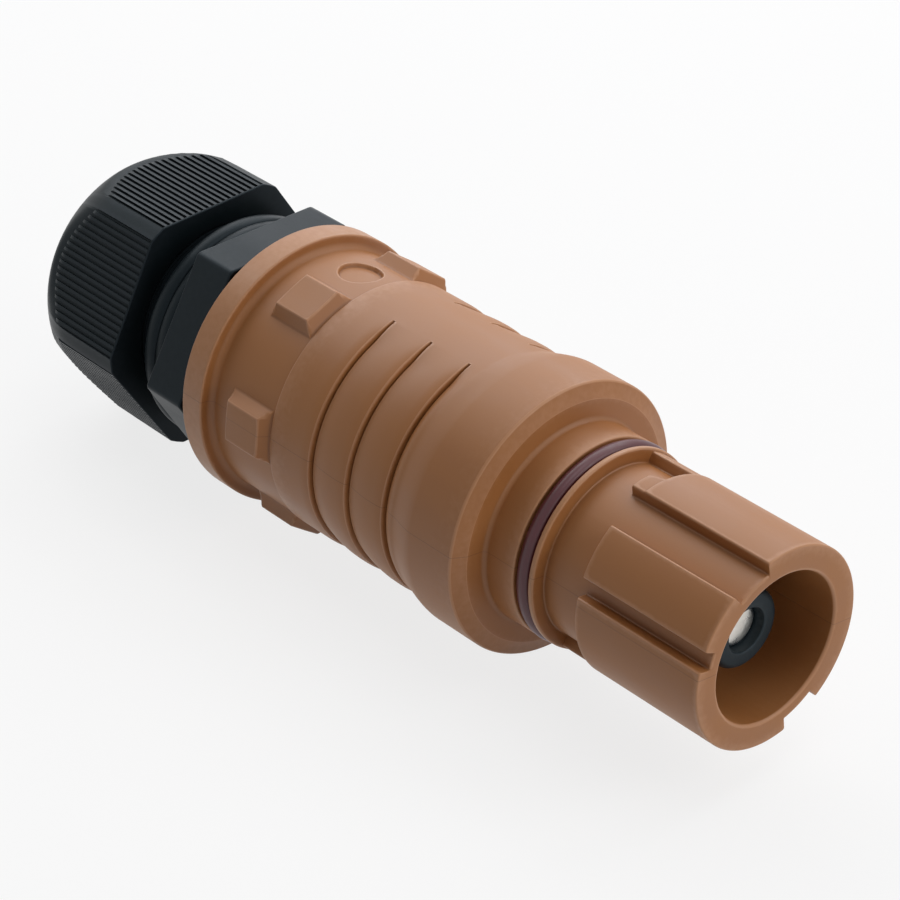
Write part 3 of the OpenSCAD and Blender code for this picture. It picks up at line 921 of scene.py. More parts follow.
@dataclass
class Workshop:
    """What every sub-assembly needs to finish its pieces."""

    effects: Effects
    finishes: FinishRack
    pieces: list[bpy.types.Object] = field(default_factory=list)

    def material(self, finish: Finish) -> bpy.types.Material:
        """Looks up a finish's material.

        Args:
            finish: The finish.

        Returns:
            The material.
        """
        return self.finishes.get(finish, self.effects)

    def add(self, node: str, mesh: bpy.types.Mesh, finish: Finish, sharp: float = 48.0) -> None:
        """Finishes a piece that stands for a node.

        Args:
            node: The node's name.
            mesh: The piece's mesh.
            finish: Its finish.
            sharp: The angle, in degrees, past which an edge stays sharp.
        """
        mesh.polygons.foreach_set("use_smooth", np.ones(len(mesh.polygons), dtype=bool))
        mesh.set_sharp_from_angle(angle=math.radians(sharp))
        mark_crests(mesh)
        maker = bpy.data.objects.new(node, mesh)
        bpy.context.scene.collection.objects.link(maker)
        even = maker.modifiers.new("even shading", "WEIGHTED_NORMAL")
        even.keep_sharp = True
        shaded = plain_mesh(maker, node)
        shaded.materials.clear()
        shaded.materials.append(self.material(finish))
        piece = bpy.data.objects.new(f"{node}_piece", shaded)
        bpy.context.scene.collection.objects.link(piece)
        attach(piece, BODY)
        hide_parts(node)
        self.pieces.append(piece)
        LOG.info("%s: %d faces, %s", piece.name, len(shaded.polygons), finish.name)

    def turned(self, node: str, section: np.ndarray, columns: int, finish: Finish,
               loop: bool = True) -> None:
        """Makes and finishes a piece that is plainly turned.

        Args:
            node: The node's name.
            section: Rows of depth and radius.
            columns: Flats round the axis.
            finish: The piece's finish.
            loop: Whether the section is closed by itself, and not by the axis.
        """
        self.add(node, Skin().turn(section, columns, loop).mesh(node), finish)

    def dress(self, node: str, finish: Finish) -> None:
        """Gives a node that stays as it is its finish.

        Args:
            node: The node's name.
            finish: The finish.
        """
        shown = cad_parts[node].data
        shown.materials.clear()
        shown.materials.append(self.material(finish))
        LOG.info("%s: kept, %s", node, finish.name)


@dataclass
class InsulatingShell:
    """The brown moulding: bayonet nose, neck, collar, grooved grip, spanner lugs and flange."""

    nose_r: float = 21.5
    track_r: float = 18.75
    stop_h: float = 2.5
    mouth_r: float = 16.0
    mouth_depth: float = 37.0
    rim_round: float = 0.4
    mouth_round: float = 0.7
    pad_rear: float = 32.2
    detent_len: float = 3.3
    detent_ramp: float = 1.5
    slot_angle: float = 24.5
    code_angle: float = 10.8
    code_turn: float = 48.8
    stop_turn: float = 51.0
    stop_angle: float = 11.0
    detent_angle: float = 13.0
    clock: float = -23.0
    lip_front: float = 43.4
    lip_rear: float = 44.9
    lip_r: float = 21.8
    seal_floor: float = 18.65
    seal_mid: float = 46.8
    neck_front: float = 48.7
    neck_r: float = 22.0
    collar_face: float = 56.8
    collar_front: float = 58.1
    collar_r: float = 30.0
    bevel_w: float = 3.4
    collar_rear: float = 69.8
    flare_rear: float = 76.8
    grip_r: float = 28.4
    first_groove: float = 79.7
    groove_pitch: float = 11.3
    grooves: int = 3
    slit_depth: float = 1.75
    slit_w: float = 0.7
    slit_foot: float = 0.42
    slit_lean: float = 0.05
    tail_len: float = 7.0
    tail_drop: float = 1.05
    shoulder_len: float = 2.6
    shoulder_drop: float = 0.3
    panel_angle: float = 34.0
    waist_r: float = 28.0
    lug_front: float = 115.1
    lug_rear: float = 128.7
    lug_h: float = 30.4
    lug_w: float = 9.0
    lug_draft: float = 27.0
    lugs: int = 6
    recess_r: float = 4.6
    recess_depth: float = 0.9
    recess_at: float = 122.7
    flange_front: float = 134.7
    flange_r: float = 31.0
    flange_fillet: float = 1.5
    edge_r: float = 0.4
    rear: float = 140.8
    stem_hole_r: float = 9.1
    pocket_r: float = 14.3
    web_rear: float = 45.0
    pocket_end: float = 56.7
    chamber_r: float = 18.6
    chamber_end: float = 124.8
    entry_r: float = 20.1
    nose_gap: float = 2.6
    nose_row_gap: float = 2.0
    pad_rows: int = 12
    rim_flats: int = 5
    rim_land: float = 1.6
    stop_lead: float = 2.0
    stop_trail: float = 0.6
    groove_ease: float = 0.5
    inner_round: float = 0.3
    mouth_foot: float = 0.9
    hold_near: float = 3.0
    hold_far: float = 9.0
    neck_foot: float = 0.5
    neck_round: float = 0.4
    collar_foot: float = 1.0
    bevel_round: float = 0.5
    collar_round: float = 0.7
    grip_end_round: float = 0.45
    grip_gap: float = 2.4
    panel_lines: tuple[float, ...] = (-0.9, -0.6, -0.35, -0.15, 0.0, 0.15, 0.35, 0.6)
    slit_fade: float = 0.4
    band_lead: float = 1.0
    band_fade: float = 14.0
    band_points: int = 7
    band_first: float = 0.14
    tail_round: float = 0.12
    slit_round: float = 0.1
    shoulder_round: float = 0.25
    flare_points: int = 13
    flare_parts: tuple[float, float] = (3.0, 6.0)
    lug_sink: float = 1.0
    lug_lines: tuple[float, ...] = (-0.5, -0.3, -0.15, 0.0, 0.15, 0.3, 0.5)
    lug_foot_spread: float = 1.5
    lug_top_shift: float = 0.1
    lug_gap: float = 2.0
    lug_row_gap: float = 1.6
    lug_soft: float = 0.32
    lug_fillet: float = 0.4
    recess_margin: float = 0.5
    recess_step: float = 0.18
    recess_in: float = 0.16
    recess_out: float = 0.24
    fillet_flats: int = 8
    entry_round: float = 0.4

    def build(self, shop: Workshop) -> None:
        """Builds and dresses the shell.

        Args:
            shop: The workshop.
        """
        skin = Skin()
        self.nose(skin)
        self.grip(skin)
        self.lugs_and_flange(skin)
        shop.add("insulating_shell", skin.mesh("insulating_shell"), shop.finishes.brown_nylon)

    def nose(self, skin: Skin) -> None:
        """Adds the nose, with its pads, slots, stops, detents and lip, and the mouth inside it.

        Args:
            skin: The shell's skin.
        """
        pad_h = self.nose_r - self.track_r
        lip_h = self.lip_r - self.track_r
        step = EdgeStep(pad_h)
        along = step.section()[0]
        half = self.slot_angle / 2.0
        code = (-self.code_turn - self.code_angle / 2.0, -self.code_turn + self.code_angle / 2.0)
        pads = [(half, HALF_TURN - half), (code[1], -half), (half - HALF_TURN, code[0])]
        halves = (0.0, -HALF_TURN)
        stops = [(turn + self.stop_turn, turn + self.stop_turn + self.stop_angle) for turn in halves]
        detents = [(turn + half, turn + half + self.detent_angle) for turn in halves]
        degree = math.degrees(1.0 / self.nose_r)
        lines = [start + along * degree for start, _ in pads + stops + detents]
        lines += [end - along * degree for _, end in pads + stops + detents]
        angle = filled(np.concatenate(lines), self.nose_gap, -HALF_TURN, HALF_TURN)[:-1]

        rows = np.concatenate((
            self.pad_rear - along, self.pad_rear + self.detent_len - along, self.lip_front + along,
            self.lip_rear - along, np.linspace(self.rim_round, self.pad_rear, self.pad_rows)))
        depth = filled(rows, self.nose_row_gap, self.rim_round, self.seal_mid)[:, None]
        turn = self.slanted(angle, depth, [end for _, end in detents], degree)

        def width(start: float, end: float | np.ndarray) -> np.ndarray:
            """Finds how fully each point lies between two angles.

            Args:
                start: The first angle.
                end: The second angle.

            Returns:
                The share of the full height there.
            """
            return np.minimum(step.share((turn - start) / degree), step.share((end - turn) / degree))

        rise = np.zeros_like(turn)
        past_pads = depth > self.pad_rear - self.stop_lead
        for start, end in pads:
            rise = np.maximum(rise, pad_h * width(start, end) * step.share(self.pad_rear - depth))
        for start, end in stops:
            reach = past_pads & (depth < self.lip_rear - self.stop_trail)
            rise = np.maximum(rise, self.stop_h * width(start, end) * reach)
        for start, end in detents:
            reach = step.share(self.pad_rear + self.detent_len - depth) * past_pads
            leaning = end + self.slant(depth, degree)
            rise = np.maximum(rise, self.stop_h * width(start, leaning) * reach)
        lip = step.share(depth - self.lip_front) * step.share(self.lip_rear - depth)
        rise = np.maximum(rise, lip_h * lip)
        sunk = ease(depth, self.lip_rear, self.lip_rear + self.groove_ease)
        outside = self.track_r + (self.seal_floor - self.track_r) * sunk + rise

        bend = quarter(self.rim_flats)[:0:-1, None]
        rim_depth = self.rim_round * (1.0 - np.sin(bend))
        rim = outside[:1] - self.rim_round * (1.0 - np.cos(bend))
        inside = rounded([
            (self.seal_mid, self.pocket_r, 0.0), (self.web_rear, self.pocket_r, self.inner_round),
            (self.web_rear, self.stem_hole_r, self.inner_round),
            (self.mouth_depth, self.stem_hole_r, self.inner_round),
            (self.mouth_depth, self.mouth_r, self.mouth_foot), (0.0, self.mouth_r, self.mouth_round),
            (0.0, self.mouth_r + self.rim_land, 0.0)], closed=False, segments=5)
        columns = len(angle)
        all_depth = np.concatenate((rim_depth, depth, inside[:, :1]))
        all_radius = np.concatenate((rim, outside, np.repeat(inside[:, 1:], columns, axis=1)))
        front = np.repeat(turn[:1], len(rim), axis=0)
        back = np.repeat(angle[None, :], len(inside), axis=0)
        skin.wrap(all_depth, all_radius, np.concatenate((front, turn, back)) + self.clock)

    def slant(self, depth: np.ndarray, degree: float) -> np.ndarray:
        """Works out how far a detent's far side leans at each depth.

        Args:
            depth: The rows' depths.
            degree: Degrees of turn in a millimetre.

        Returns:
            The lean, in degrees.
        """
        share = np.clip((self.pad_rear + self.detent_len - depth) / self.detent_len, 0.0, 1.0)
        return self.detent_ramp * share * degree

    def slanted(self, angle: np.ndarray, depth: np.ndarray, ends: list[float], degree: float) -> np.ndarray:
        """Leans the grid's columns with the detents' far sides.

        Args:
            angle: The columns' angles.
            depth: The rows' depths.
            ends: The angles of the detents' far sides.
            degree: Degrees of turn in a millimetre.

        Returns:
            The angle of each point, rows by columns.
        """
        turn = np.repeat(angle[None, :], len(depth), axis=0)
        for end in ends:
            hold = 1.0 - ease(np.abs(angle - end), self.hold_near, self.hold_far)
            turn = turn + hold[None, :] * self.slant(depth, degree)
        return turn

    def grip(self, skin: Skin) -> None:
        """Adds the neck, the collar, the flare and the grooved grip, with the contact's pocket inside.

        Args:
            skin: The shell's skin.
        """
        outer = np.concatenate((rounded([
            (self.seal_mid, self.seal_floor, 0.0), (self.neck_front, self.seal_floor, self.neck_foot),
            (self.neck_front, self.neck_r, self.neck_round),
            (self.collar_face, self.neck_r, self.collar_foot),
            (self.collar_face, self.collar_r - self.bevel_w, self.bevel_round),
            (self.collar_front, self.collar_r, self.collar_round),
            (self.collar_rear, self.collar_r, 0.0)], closed=False, segments=5), self.flare()))
        tail = rounded([
            (self.flare_rear, self.grip_r, 0.0), (self.lug_front, self.grip_r, self.grip_end_round),
            (self.lug_front, self.chamber_r, 0.0)], closed=False, segments=5)[1:]
        cone_end = self.pocket_end + self.chamber_r - self.pocket_r
        inner = np.array([
            (cone_end, self.chamber_r), (self.pocket_end, self.pocket_r), (self.seal_mid, self.pocket_r)])
        starts = [self.first_groove + i * self.groove_pitch for i in range(self.grooves)]
        grooved = np.concatenate([self.groove(start) for start in starts])
        plain = np.concatenate((tail, inner))
        depth = np.concatenate((outer[:, 0], grooved[:, 0], plain[:, 0]))[:, None]
        section = np.concatenate((outer[:, 1], np.full(len(grooved), self.grip_r), plain[:, 1]))[:, None]
        none_before, none_after = np.zeros((len(outer), 2)), np.zeros((len(plain), 2))
        soft, slit = np.concatenate((none_before, grooved[:, 1:], none_after)).T[:, :, None]

        edge = self.panel_angle / 2.0
        fine = edge + np.array(self.panel_lines)
        angle = filled(np.concatenate((fine, -fine)), self.grip_gap, -HALF_TURN, HALF_TURN)[:-1]
        away = np.abs(angle)[None, :]
        slit_share = ease(away, edge - self.slit_fade, edge + self.slit_fade)
        soft_share = ease(away, edge - self.band_lead, edge + self.band_fade)
        radius = section - soft * soft_share - slit * slit_share
        skin.wrap(depth, radius, angle[None, :] + self.clock + HALF_TURN / self.lugs)

    def flare(self) -> np.ndarray:
        """Draws the curve from the collar down to the grip, without its last point.

        Returns:
            Rows of depth and radius.
        """
        length = self.flare_rear - self.collar_rear
        share = np.linspace(0.0, 1.0, self.flare_points)[1:-1, None]
        ends = np.array(((self.collar_rear, self.collar_r), (self.flare_rear, self.grip_r)))
        lead, trail = self.flare_parts
        handles = ends + np.array(((length / lead, 0.0), (-length / trail, 0.0)))
        rest = 1.0 - share
        return (rest**3 * ends[0] + 3.0 * rest**2 * share * handles[0] + 3.0 * rest * share**2 * handles[1]
                + share**3 * ends[1])

    def groove(self, start: float) -> np.ndarray:
        """Draws one grip groove: a slit between a band's long tail and the next band's short shoulder.

        Args:
            start: The slit's depth behind the mouth.

        Returns:
            Rows of depth, the rounded edges' drop and the slit's further drop.
        """
        lead = min(self.tail_len, start - self.flare_rear)
        share = np.linspace(1.0, self.band_first, self.band_points)
        fall = (1.0 - share) ** 2
        tail = [(-lead * t, self.tail_drop * part, 0.0) for t, part in zip(share, fall)]
        shoulder = [(self.slit_w + self.shoulder_len * t, self.shoulder_drop * part, 0.0)
                    for t, part in zip(share[::-1], fall[::-1])]
        past, drop = rounded([
            *tail, (0.0, self.tail_drop, self.tail_round),
            (self.slit_lean, self.slit_depth, self.slit_round),
            (self.slit_foot, self.slit_depth, self.slit_round),
            (self.slit_w, self.shoulder_drop, self.shoulder_round), *shoulder], closed=False).T
        before = self.tail_drop * np.clip(1.0 + past / lead, 0.0, 1.0) ** 2
        behind = self.shoulder_drop * np.clip(1.0 - (past - self.slit_w) / self.shoulder_len, 0.0, 1.0) ** 2
        soft = before + (behind - before) * np.clip(past / self.slit_w, 0.0, 1.0)
        return np.stack((start + past, soft, drop - soft), axis=1)

    def lugs_and_flange(self, skin: Skin) -> None:
        """Adds the spanner lugs, the marker recess, the flange and the gland's thread hole.

        Args:
            skin: The shell's skin.
        """
        pitch = WHOLE_TURN / self.lugs
        centres = np.arange(self.lugs) * pitch - HALF_TURN + pitch / 2.0
        degree = math.degrees(1.0 / self.waist_r)
        lean = math.tan(math.radians(self.lug_draft))
        foot = self.waist_r - self.lug_sink
        span = self.lug_w / 2.0 + self.lug_h * lean
        top_turn = math.degrees(math.atan2(self.lug_w / 2.0, self.lug_h))
        foot_turn = math.degrees(math.asin(span / self.waist_r / math.hypot(1.0, lean)) - math.atan(lean))
        fine = np.array(self.lug_lines)
        sides = np.concatenate((top_turn + fine, foot_turn + self.lug_foot_spread * fine))
        lines = np.concatenate([np.concatenate((centre + sides, centre - sides)) for centre in centres])
        reach = self.recess_r + self.recess_margin
        spot = np.arange(-reach, reach, self.recess_step)
        angle = filled(np.concatenate((lines, spot * degree)), self.lug_gap, -HALF_TURN, HALF_TURN)[:-1]
        ends = np.concatenate((
            (self.waist_r - foot) * lean + fine, (self.lug_h - foot) * lean + fine + self.lug_top_shift))
        rows = np.concatenate((self.lug_front + ends, self.lug_rear - ends, self.recess_at + spot))
        straight = filled(rows, self.lug_row_gap, self.lug_front, self.flange_front - self.flange_fillet)
        bend = quarter(self.fillet_flats)[1:-1]
        fillet = np.stack((
            self.flange_front - self.flange_fillet * (1.0 - np.sin(bend)),
            self.waist_r + self.flange_fillet * (1.0 - np.cos(bend))), axis=1)
        rim = rounded([
            (self.flange_front, self.waist_r + self.flange_fillet, 0.0),
            (self.flange_front, self.flange_r, self.edge_r), (self.rear, self.flange_r, self.edge_r),
            (self.rear, self.entry_r, self.entry_round), (self.chamber_end, self.entry_r, 0.0),
            (self.chamber_end, self.chamber_r, 0.0), (self.lug_front, self.chamber_r, 0.0)],
            closed=False, segments=6)
        waist_rows = np.stack((straight, np.full(len(straight), self.waist_r)), axis=1)
        section = np.concatenate((waist_rows, fillet, rim))
        depth = section[:, :1]
        base = np.repeat(section[:, 1:], len(angle), axis=1)

        off = (angle - centres[0] + pitch / 2.0) % pitch - pitch / 2.0
        turn = np.radians(np.abs(off))[None, :]
        top = self.lug_h / np.cos(turn)
        side = span / (np.cos(turn) * lean + np.sin(turn))
        nearest = np.minimum(depth - self.lug_front, self.lug_rear - depth)
        lug = soft_min(soft_min(top, side, self.lug_soft), foot + nearest / lean, self.lug_soft)
        waist = np.arange(len(section))[:, None] < len(straight)
        across = np.hypot(depth - self.recess_at, angle[None, :] / degree)
        wall = ease(across, self.recess_r - self.recess_in, self.recess_r + self.recess_out)
        sink = self.recess_depth * (1.0 - wall)
        radius = np.where(waist, soft_max(base, lug, self.lug_fillet) - sink, base)
        skin.wrap(depth, radius, angle[None, :] + self.clock + pitch / 2.0)


@dataclass
class NoseSeal:
    """The red seal ring behind the nose's lip."""

    depth: float = 46.8
    ring_r: float = 20.4
    thick: float = 3.4
    flats: int = 28
    columns: int = 168

    def build(self, shop: Workshop) -> None:
        """Builds and dresses the ring.

        Args:
            shop: The workshop.
        """
        turn = np.radians(np.arange(self.flats) * WHOLE_TURN / self.flats)
        half = self.thick / 2.0
        section = np.stack((self.depth - half * np.cos(turn), self.ring_r + half * np.sin(turn)), axis=1)
        shop.turned("nose_o_ring", section, self.columns, shop.finishes.red_rubber)


@dataclass
class Contact:
    """The plated contact, its touch guard and what holds it in the shell."""

    pin_r: float = 8.6
    tip_r: float = 4.6
    tip_round: float = 1.0
    tip_front: float = 9.8
    guard_front: float = 7.6
    guard_rear: float = 15.0
    guard_r: float = 8.4
    guard_round: float = 1.4
    guard_hole_r: float = 4.7
    stem_r: float = 9.0
    stem_front: float = 36.5
    stem_taper: float = 1.0
    web_rear: float = 45.0
    shoulder_r: float = 14.2
    shoulder_rear: float = 52.0
    barrel_r: float = 12.2
    barrel_rear: float = 98.0
    socket_r: float = 8.0
    socket_front: float = 62.0
    socket_cone: float = 2.0
    pin_edge: float = 0.2
    stem_edge: float = 0.3
    shoulder_edge: float = 0.4
    barrel_edge: float = 0.6
    socket_edge: float = 0.8
    guard_lip: float = 0.45
    guard_foot: float = 0.25
    pin_columns: int = 96
    guard_columns: int = 120

    def build(self, shop: Workshop) -> None:
        """Builds and dresses the contact's pieces.

        Args:
            shop: The workshop.
        """
        self.pin(shop)
        self.guard(shop)
        shop.dress("contact_o_ring", shop.finishes.black_rubber)
        shop.dress("thrust_washer", shop.finishes.plated_brass)
        shop.dress("retaining_ring", shop.finishes.spring_steel)
        shop.dress("set_screws", shop.finishes.spring_steel)

    def pin(self, shop: Workshop) -> None:
        """Builds the contact's pin, shoulder and conductor barrel.

        Args:
            shop: The workshop.
        """
        section = rounded([
            (self.tip_front, 0.0, 0.0), (self.tip_front, self.tip_r, self.tip_round),
            (self.guard_rear, self.tip_r, 0.0),
            (self.guard_rear, self.pin_r, self.pin_edge),
            (self.stem_front - self.stem_taper, self.pin_r, self.stem_edge),
            (self.stem_front, self.stem_r, self.stem_edge), (self.web_rear, self.stem_r, 0.0),
            (self.web_rear, self.shoulder_r, self.shoulder_edge),
            (self.shoulder_rear, self.shoulder_r, self.shoulder_edge),
            (self.shoulder_rear, self.barrel_r, self.stem_edge),
            (self.barrel_rear, self.barrel_r, self.barrel_edge),
            (self.barrel_rear, self.socket_r, self.socket_edge), (self.socket_front, self.socket_r, 0.0),
            (self.socket_front + self.socket_cone, 0.0, 0.0)], closed=False)
        shop.turned("contact_pin", section, self.pin_columns, shop.finishes.plated_brass, loop=False)

    def guard(self, shop: Workshop) -> None:
        """Builds the ring that keeps fingers off the contact's tip.

        Args:
            shop: The workshop.
        """
        section = rounded([
            (self.guard_front, self.guard_hole_r, self.guard_lip),
            (self.guard_front, self.guard_r, self.guard_round),
            (self.guard_rear, self.guard_r, self.guard_foot),
            (self.guard_rear, self.guard_hole_r, 0.0)], segments=8)
        shop.turned("touch_guard", section, self.guard_columns, shop.finishes.guard_nylon)


@dataclass
class CableGland:
    """The black gland: body with its hexagon and threads, seals, and the ribbed dome nut."""

    flat_r: float = 26.85
    corner_r: float = 30.8
    corner_soft: float = 0.25
    gasket_front: float = 140.8
    gasket_r: float = 26.05
    entry_r: float = 20.0
    entry_front: float = 125.0
    hex_front: float = 142.0
    hex_rear: float = 153.6
    bead_r: float = 26.05
    bead_w: float = 3.8
    bead_h: float = 0.95
    thread_r: float = 22.0
    thread_core: float = 21.3
    thread_pitch: float = 1.5
    thread_rear: float = 180.6
    passage_r: float = 15.0
    sleeve_seat: float = 166.6
    sleeve_r: float = 18.0
    sleeve_gap: float = 0.1
    cable_r: float = 13.5
    finger_r: float = 20.7
    finger_rear: float = 190.6
    fingers: int = 12
    finger_slit: float = 2.0
    nut_front: float = 166.2
    nut_rear: float = 199.1
    nut_flat_r: float = 27.6
    nut_turn: float = -2.0
    nut_bore_r: float = 22.1
    nut_relief_r: float = 21.1
    dome_front: float = 180.0
    dome_r: float = 31.0
    face_r: float = 20.0
    nut_mouth_r: float = 14.5
    nut_mouth_len: float = 2.0
    ribs: int = 18
    rib_pitch: float = 1.5
    rib_valley: float = 0.7
    rib_depth: float = 0.5
    rib_start: float = 0.4
    rib_end: float = 191.7
    rib_slope: float = 28.0
    nut_edge: float = 0.3
    sides: int = 6
    corner_lines: tuple[float, ...] = (-1.0, -0.5, -0.2, 0.1, 0.4)
    column_gap: float = 4.0
    ring_columns: int = 120
    edge_flats: int = 4
    entry_gap: float = 0.1
    gasket_round: float = 0.5
    beads: int = 2
    bead_points: int = 11
    hex_edge: float = 0.55
    body_edge: float = 0.3
    passage_round: float = 0.6
    body_sharp: float = 40.0
    thread_lead: float = 0.6
    thread_crest: float = 0.3
    thread_root: float = 0.92
    thread_flats: int = 72
    finger_points: int = 8
    sleeve_foot: float = 0.8
    sleeve_edge: float = 0.4
    sleeve_lip: float = 1.2
    panel_wall: float = 0.06
    panel_lead: float = 1.0
    panel_rows: int = 6
    dome_flats: int = 32
    dome_room: float = 1.0
    dome_soft: float = 0.5
    face_land: float = 1.0
    mouth_round: float = 0.9
    bore_round: float = 0.7
    bore_land: float = 1.2
    nut_sharp: float = 32.0
    rib_draft: float = 0.12
    rib_sink: float = 0.3
    rib_points: int = 26

    def build(self, shop: Workshop) -> None:
        """Builds and dresses the gland's pieces.

        Args:
            shop: The workshop.
        """
        self.gasket(shop)
        self.body(shop)
        self.sleeve(shop)
        self.nut(shop)

    def off_middle(self, angle: np.ndarray) -> np.ndarray:
        """Measures angles from the middle of the nearest flat.

        Args:
            angle: Angles from one flat's middle, in degrees.

        Returns:
            The angles from the nearest middle, in radians.
        """
        pitch = WHOLE_TURN / self.sides
        return np.radians((angle + pitch / 2.0) % pitch - pitch / 2.0)

    def hexagon(self, flat: float, angle: np.ndarray) -> np.ndarray:
        """Works out a hexagon's radius, with its corners turned down.

        Args:
            flat: The distance from the axis to a flat.
            angle: Angles from a flat's middle.

        Returns:
            The radius at each angle.
        """
        off = self.off_middle(angle)
        return soft_min(flat / np.cos(off), np.full_like(off, self.corner_r), self.corner_soft)

    def columns(self, flat: float, extra: Sequence[float] | np.ndarray = ()) -> np.ndarray:
        """Chooses angles that follow a hexagon's corners closely.

        Args:
            flat: The distance from the axis to a flat.
            extra: More places on a flat, in millimetres from its middle.

        Returns:
            The angles, from -180 degrees on.
        """
        pitch = WHOLE_TURN / self.sides
        edge = math.degrees(math.acos(flat / self.corner_r))
        soft = edge + np.array(self.corner_lines)
        places = np.degrees(np.arctan2(np.asarray(extra, float), flat))
        turns = np.concatenate((soft, pitch - soft, places))
        half = self.sides // 2
        lines = np.concatenate([side * pitch + turns for side in range(-half, half + 1)])
        return filled(lines, self.column_gap, -HALF_TURN, HALF_TURN)[:-1]

    def gasket(self, shop: Workshop) -> None:
        """Builds the flat seal, which bulges a little under load.

        Args:
            shop: The workshop.
        """
        hole_r = self.entry_r + self.entry_gap
        section = rounded([
            (self.gasket_front, hole_r, 0.0), (self.gasket_front, self.gasket_r, self.gasket_round),
            (self.hex_front, self.gasket_r, self.gasket_round), (self.hex_front, hole_r, 0.0)])
        shop.turned("gland_gasket", section, self.ring_columns, shop.finishes.black_rubber)

    def body(self, shop: Workshop) -> None:
        """Builds the body, its nut thread and its clamping fingers.

        Args:
            shop: The workshop.
        """
        angle = self.columns(self.flat_r)
        bend = np.linspace(0.0, math.pi, self.bead_points)
        bead = np.stack((self.bead_w * (1.0 - np.cos(bend)) / 2.0, np.sin(bend)), axis=1)
        foot = self.bead_r - self.bead_h
        beads = [(self.hex_rear + i * self.bead_w + along, foot + (self.bead_r - foot) * rise)
                 for i in range(self.beads) for along, rise in bead]
        bead_rear = self.hex_rear + self.beads * self.bead_w
        seat_r = self.sleeve_r + self.sleeve_gap
        rear = rounded([
            (bead_rear, foot, 0.0), (bead_rear, self.thread_core, self.body_edge),
            (self.thread_rear, self.thread_core, self.body_edge),
            (self.thread_rear, seat_r, 0.0), (self.sleeve_seat, seat_r, 0.0),
            (self.sleeve_seat, self.passage_r, self.body_edge),
            (self.entry_front, self.passage_r, self.passage_round),
            (self.entry_front, self.entry_r, self.passage_round),
            (self.hex_front, self.entry_r, 0.0)], closed=False)
        turned = np.array(beads + [tuple(point) for point in rear[1:]])
        edge = quarter(self.edge_flats)
        inset = self.hex_edge * (1.0 - np.sin(edge))
        fall = self.hex_edge * (1.0 - np.cos(edge))
        hex_depth = np.concatenate(((self.hex_front + inset)[::-1], self.hex_rear - inset))
        hex_fall = np.concatenate((fall[::-1], fall))
        radius = np.concatenate((
            self.hexagon(self.flat_r, angle)[None, :] - hex_fall[:, None],
            np.repeat(turned[:, 1:], len(angle), axis=1)))
        depth = np.concatenate((hex_depth, turned[:, 0]))[:, None]
        base = Skin().wrap(depth, radius, angle[None, :]).mesh("gland_body")
        material = shop.material(shop.finishes.black_nylon)
        threaded = self.thread().grow(base, material)
        gripped = self.crown().grow(threaded, material)
        shop.add("gland_body", gripped, shop.finishes.black_nylon, sharp=self.body_sharp)

    def thread(self) -> Pattern:
        """Builds the tree of the nut thread, one ridge that winds round the body.

        Returns:
            The tree.
        """
        start = self.hex_rear + self.beads * self.bead_w + self.thread_lead
        turns = int((self.thread_rear - start - self.thread_lead) / self.thread_pitch)
        pattern = Pattern("nut thread", {
            "Turns": turns, "Core radius": self.thread_core, "Pitch": self.thread_pitch, "Start": start,
            "Ridge": self.thread_r - self.thread_core, "Crest width": self.thread_crest,
            "Root width": self.thread_pitch * self.thread_root})
        wiring, given = pattern.wiring, pattern.given
        rise = wiring.math("MULTIPLY", given["Turns"], given["Pitch"])
        spiral = wiring.add("GeometryNodeCurveSpiral", {
            "Resolution": self.thread_flats, "Rotations": given["Turns"], "Height": rise,
            "Start Radius": given["Core radius"], "End Radius": given["Core radius"]})
        upright = wiring.add("GeometryNodeSetCurveNormal", {"Curve": spiral.outputs[0]}, mode="Z_UP")
        profile = wiring.add("GeometryNodeCurvePrimitiveQuadrilateral", mode="TRAPEZOID")
        wiring.feed(profile.inputs["Bottom Width"], given["Root width"])
        wiring.feed(profile.inputs["Top Width"], given["Crest width"])
        wiring.feed(profile.inputs["Height"], wiring.math("MULTIPLY", given["Ridge"], 2.0))
        wiring.feed(profile.inputs["Offset"], 0.0)
        turned = wiring.add("GeometryNodeTransform", {
            "Geometry": profile.outputs[0], "Rotation": (0.0, 0.0, -math.pi / 2.0)})
        ridge = wiring.add("GeometryNodeCurveToMesh", {
            "Curve": upright.outputs[0], "Profile Curve": turned.outputs[0], "Fill Caps": True})
        pattern.close(pattern.on_axis(ridge.outputs[0], given["Start"]))
        return pattern

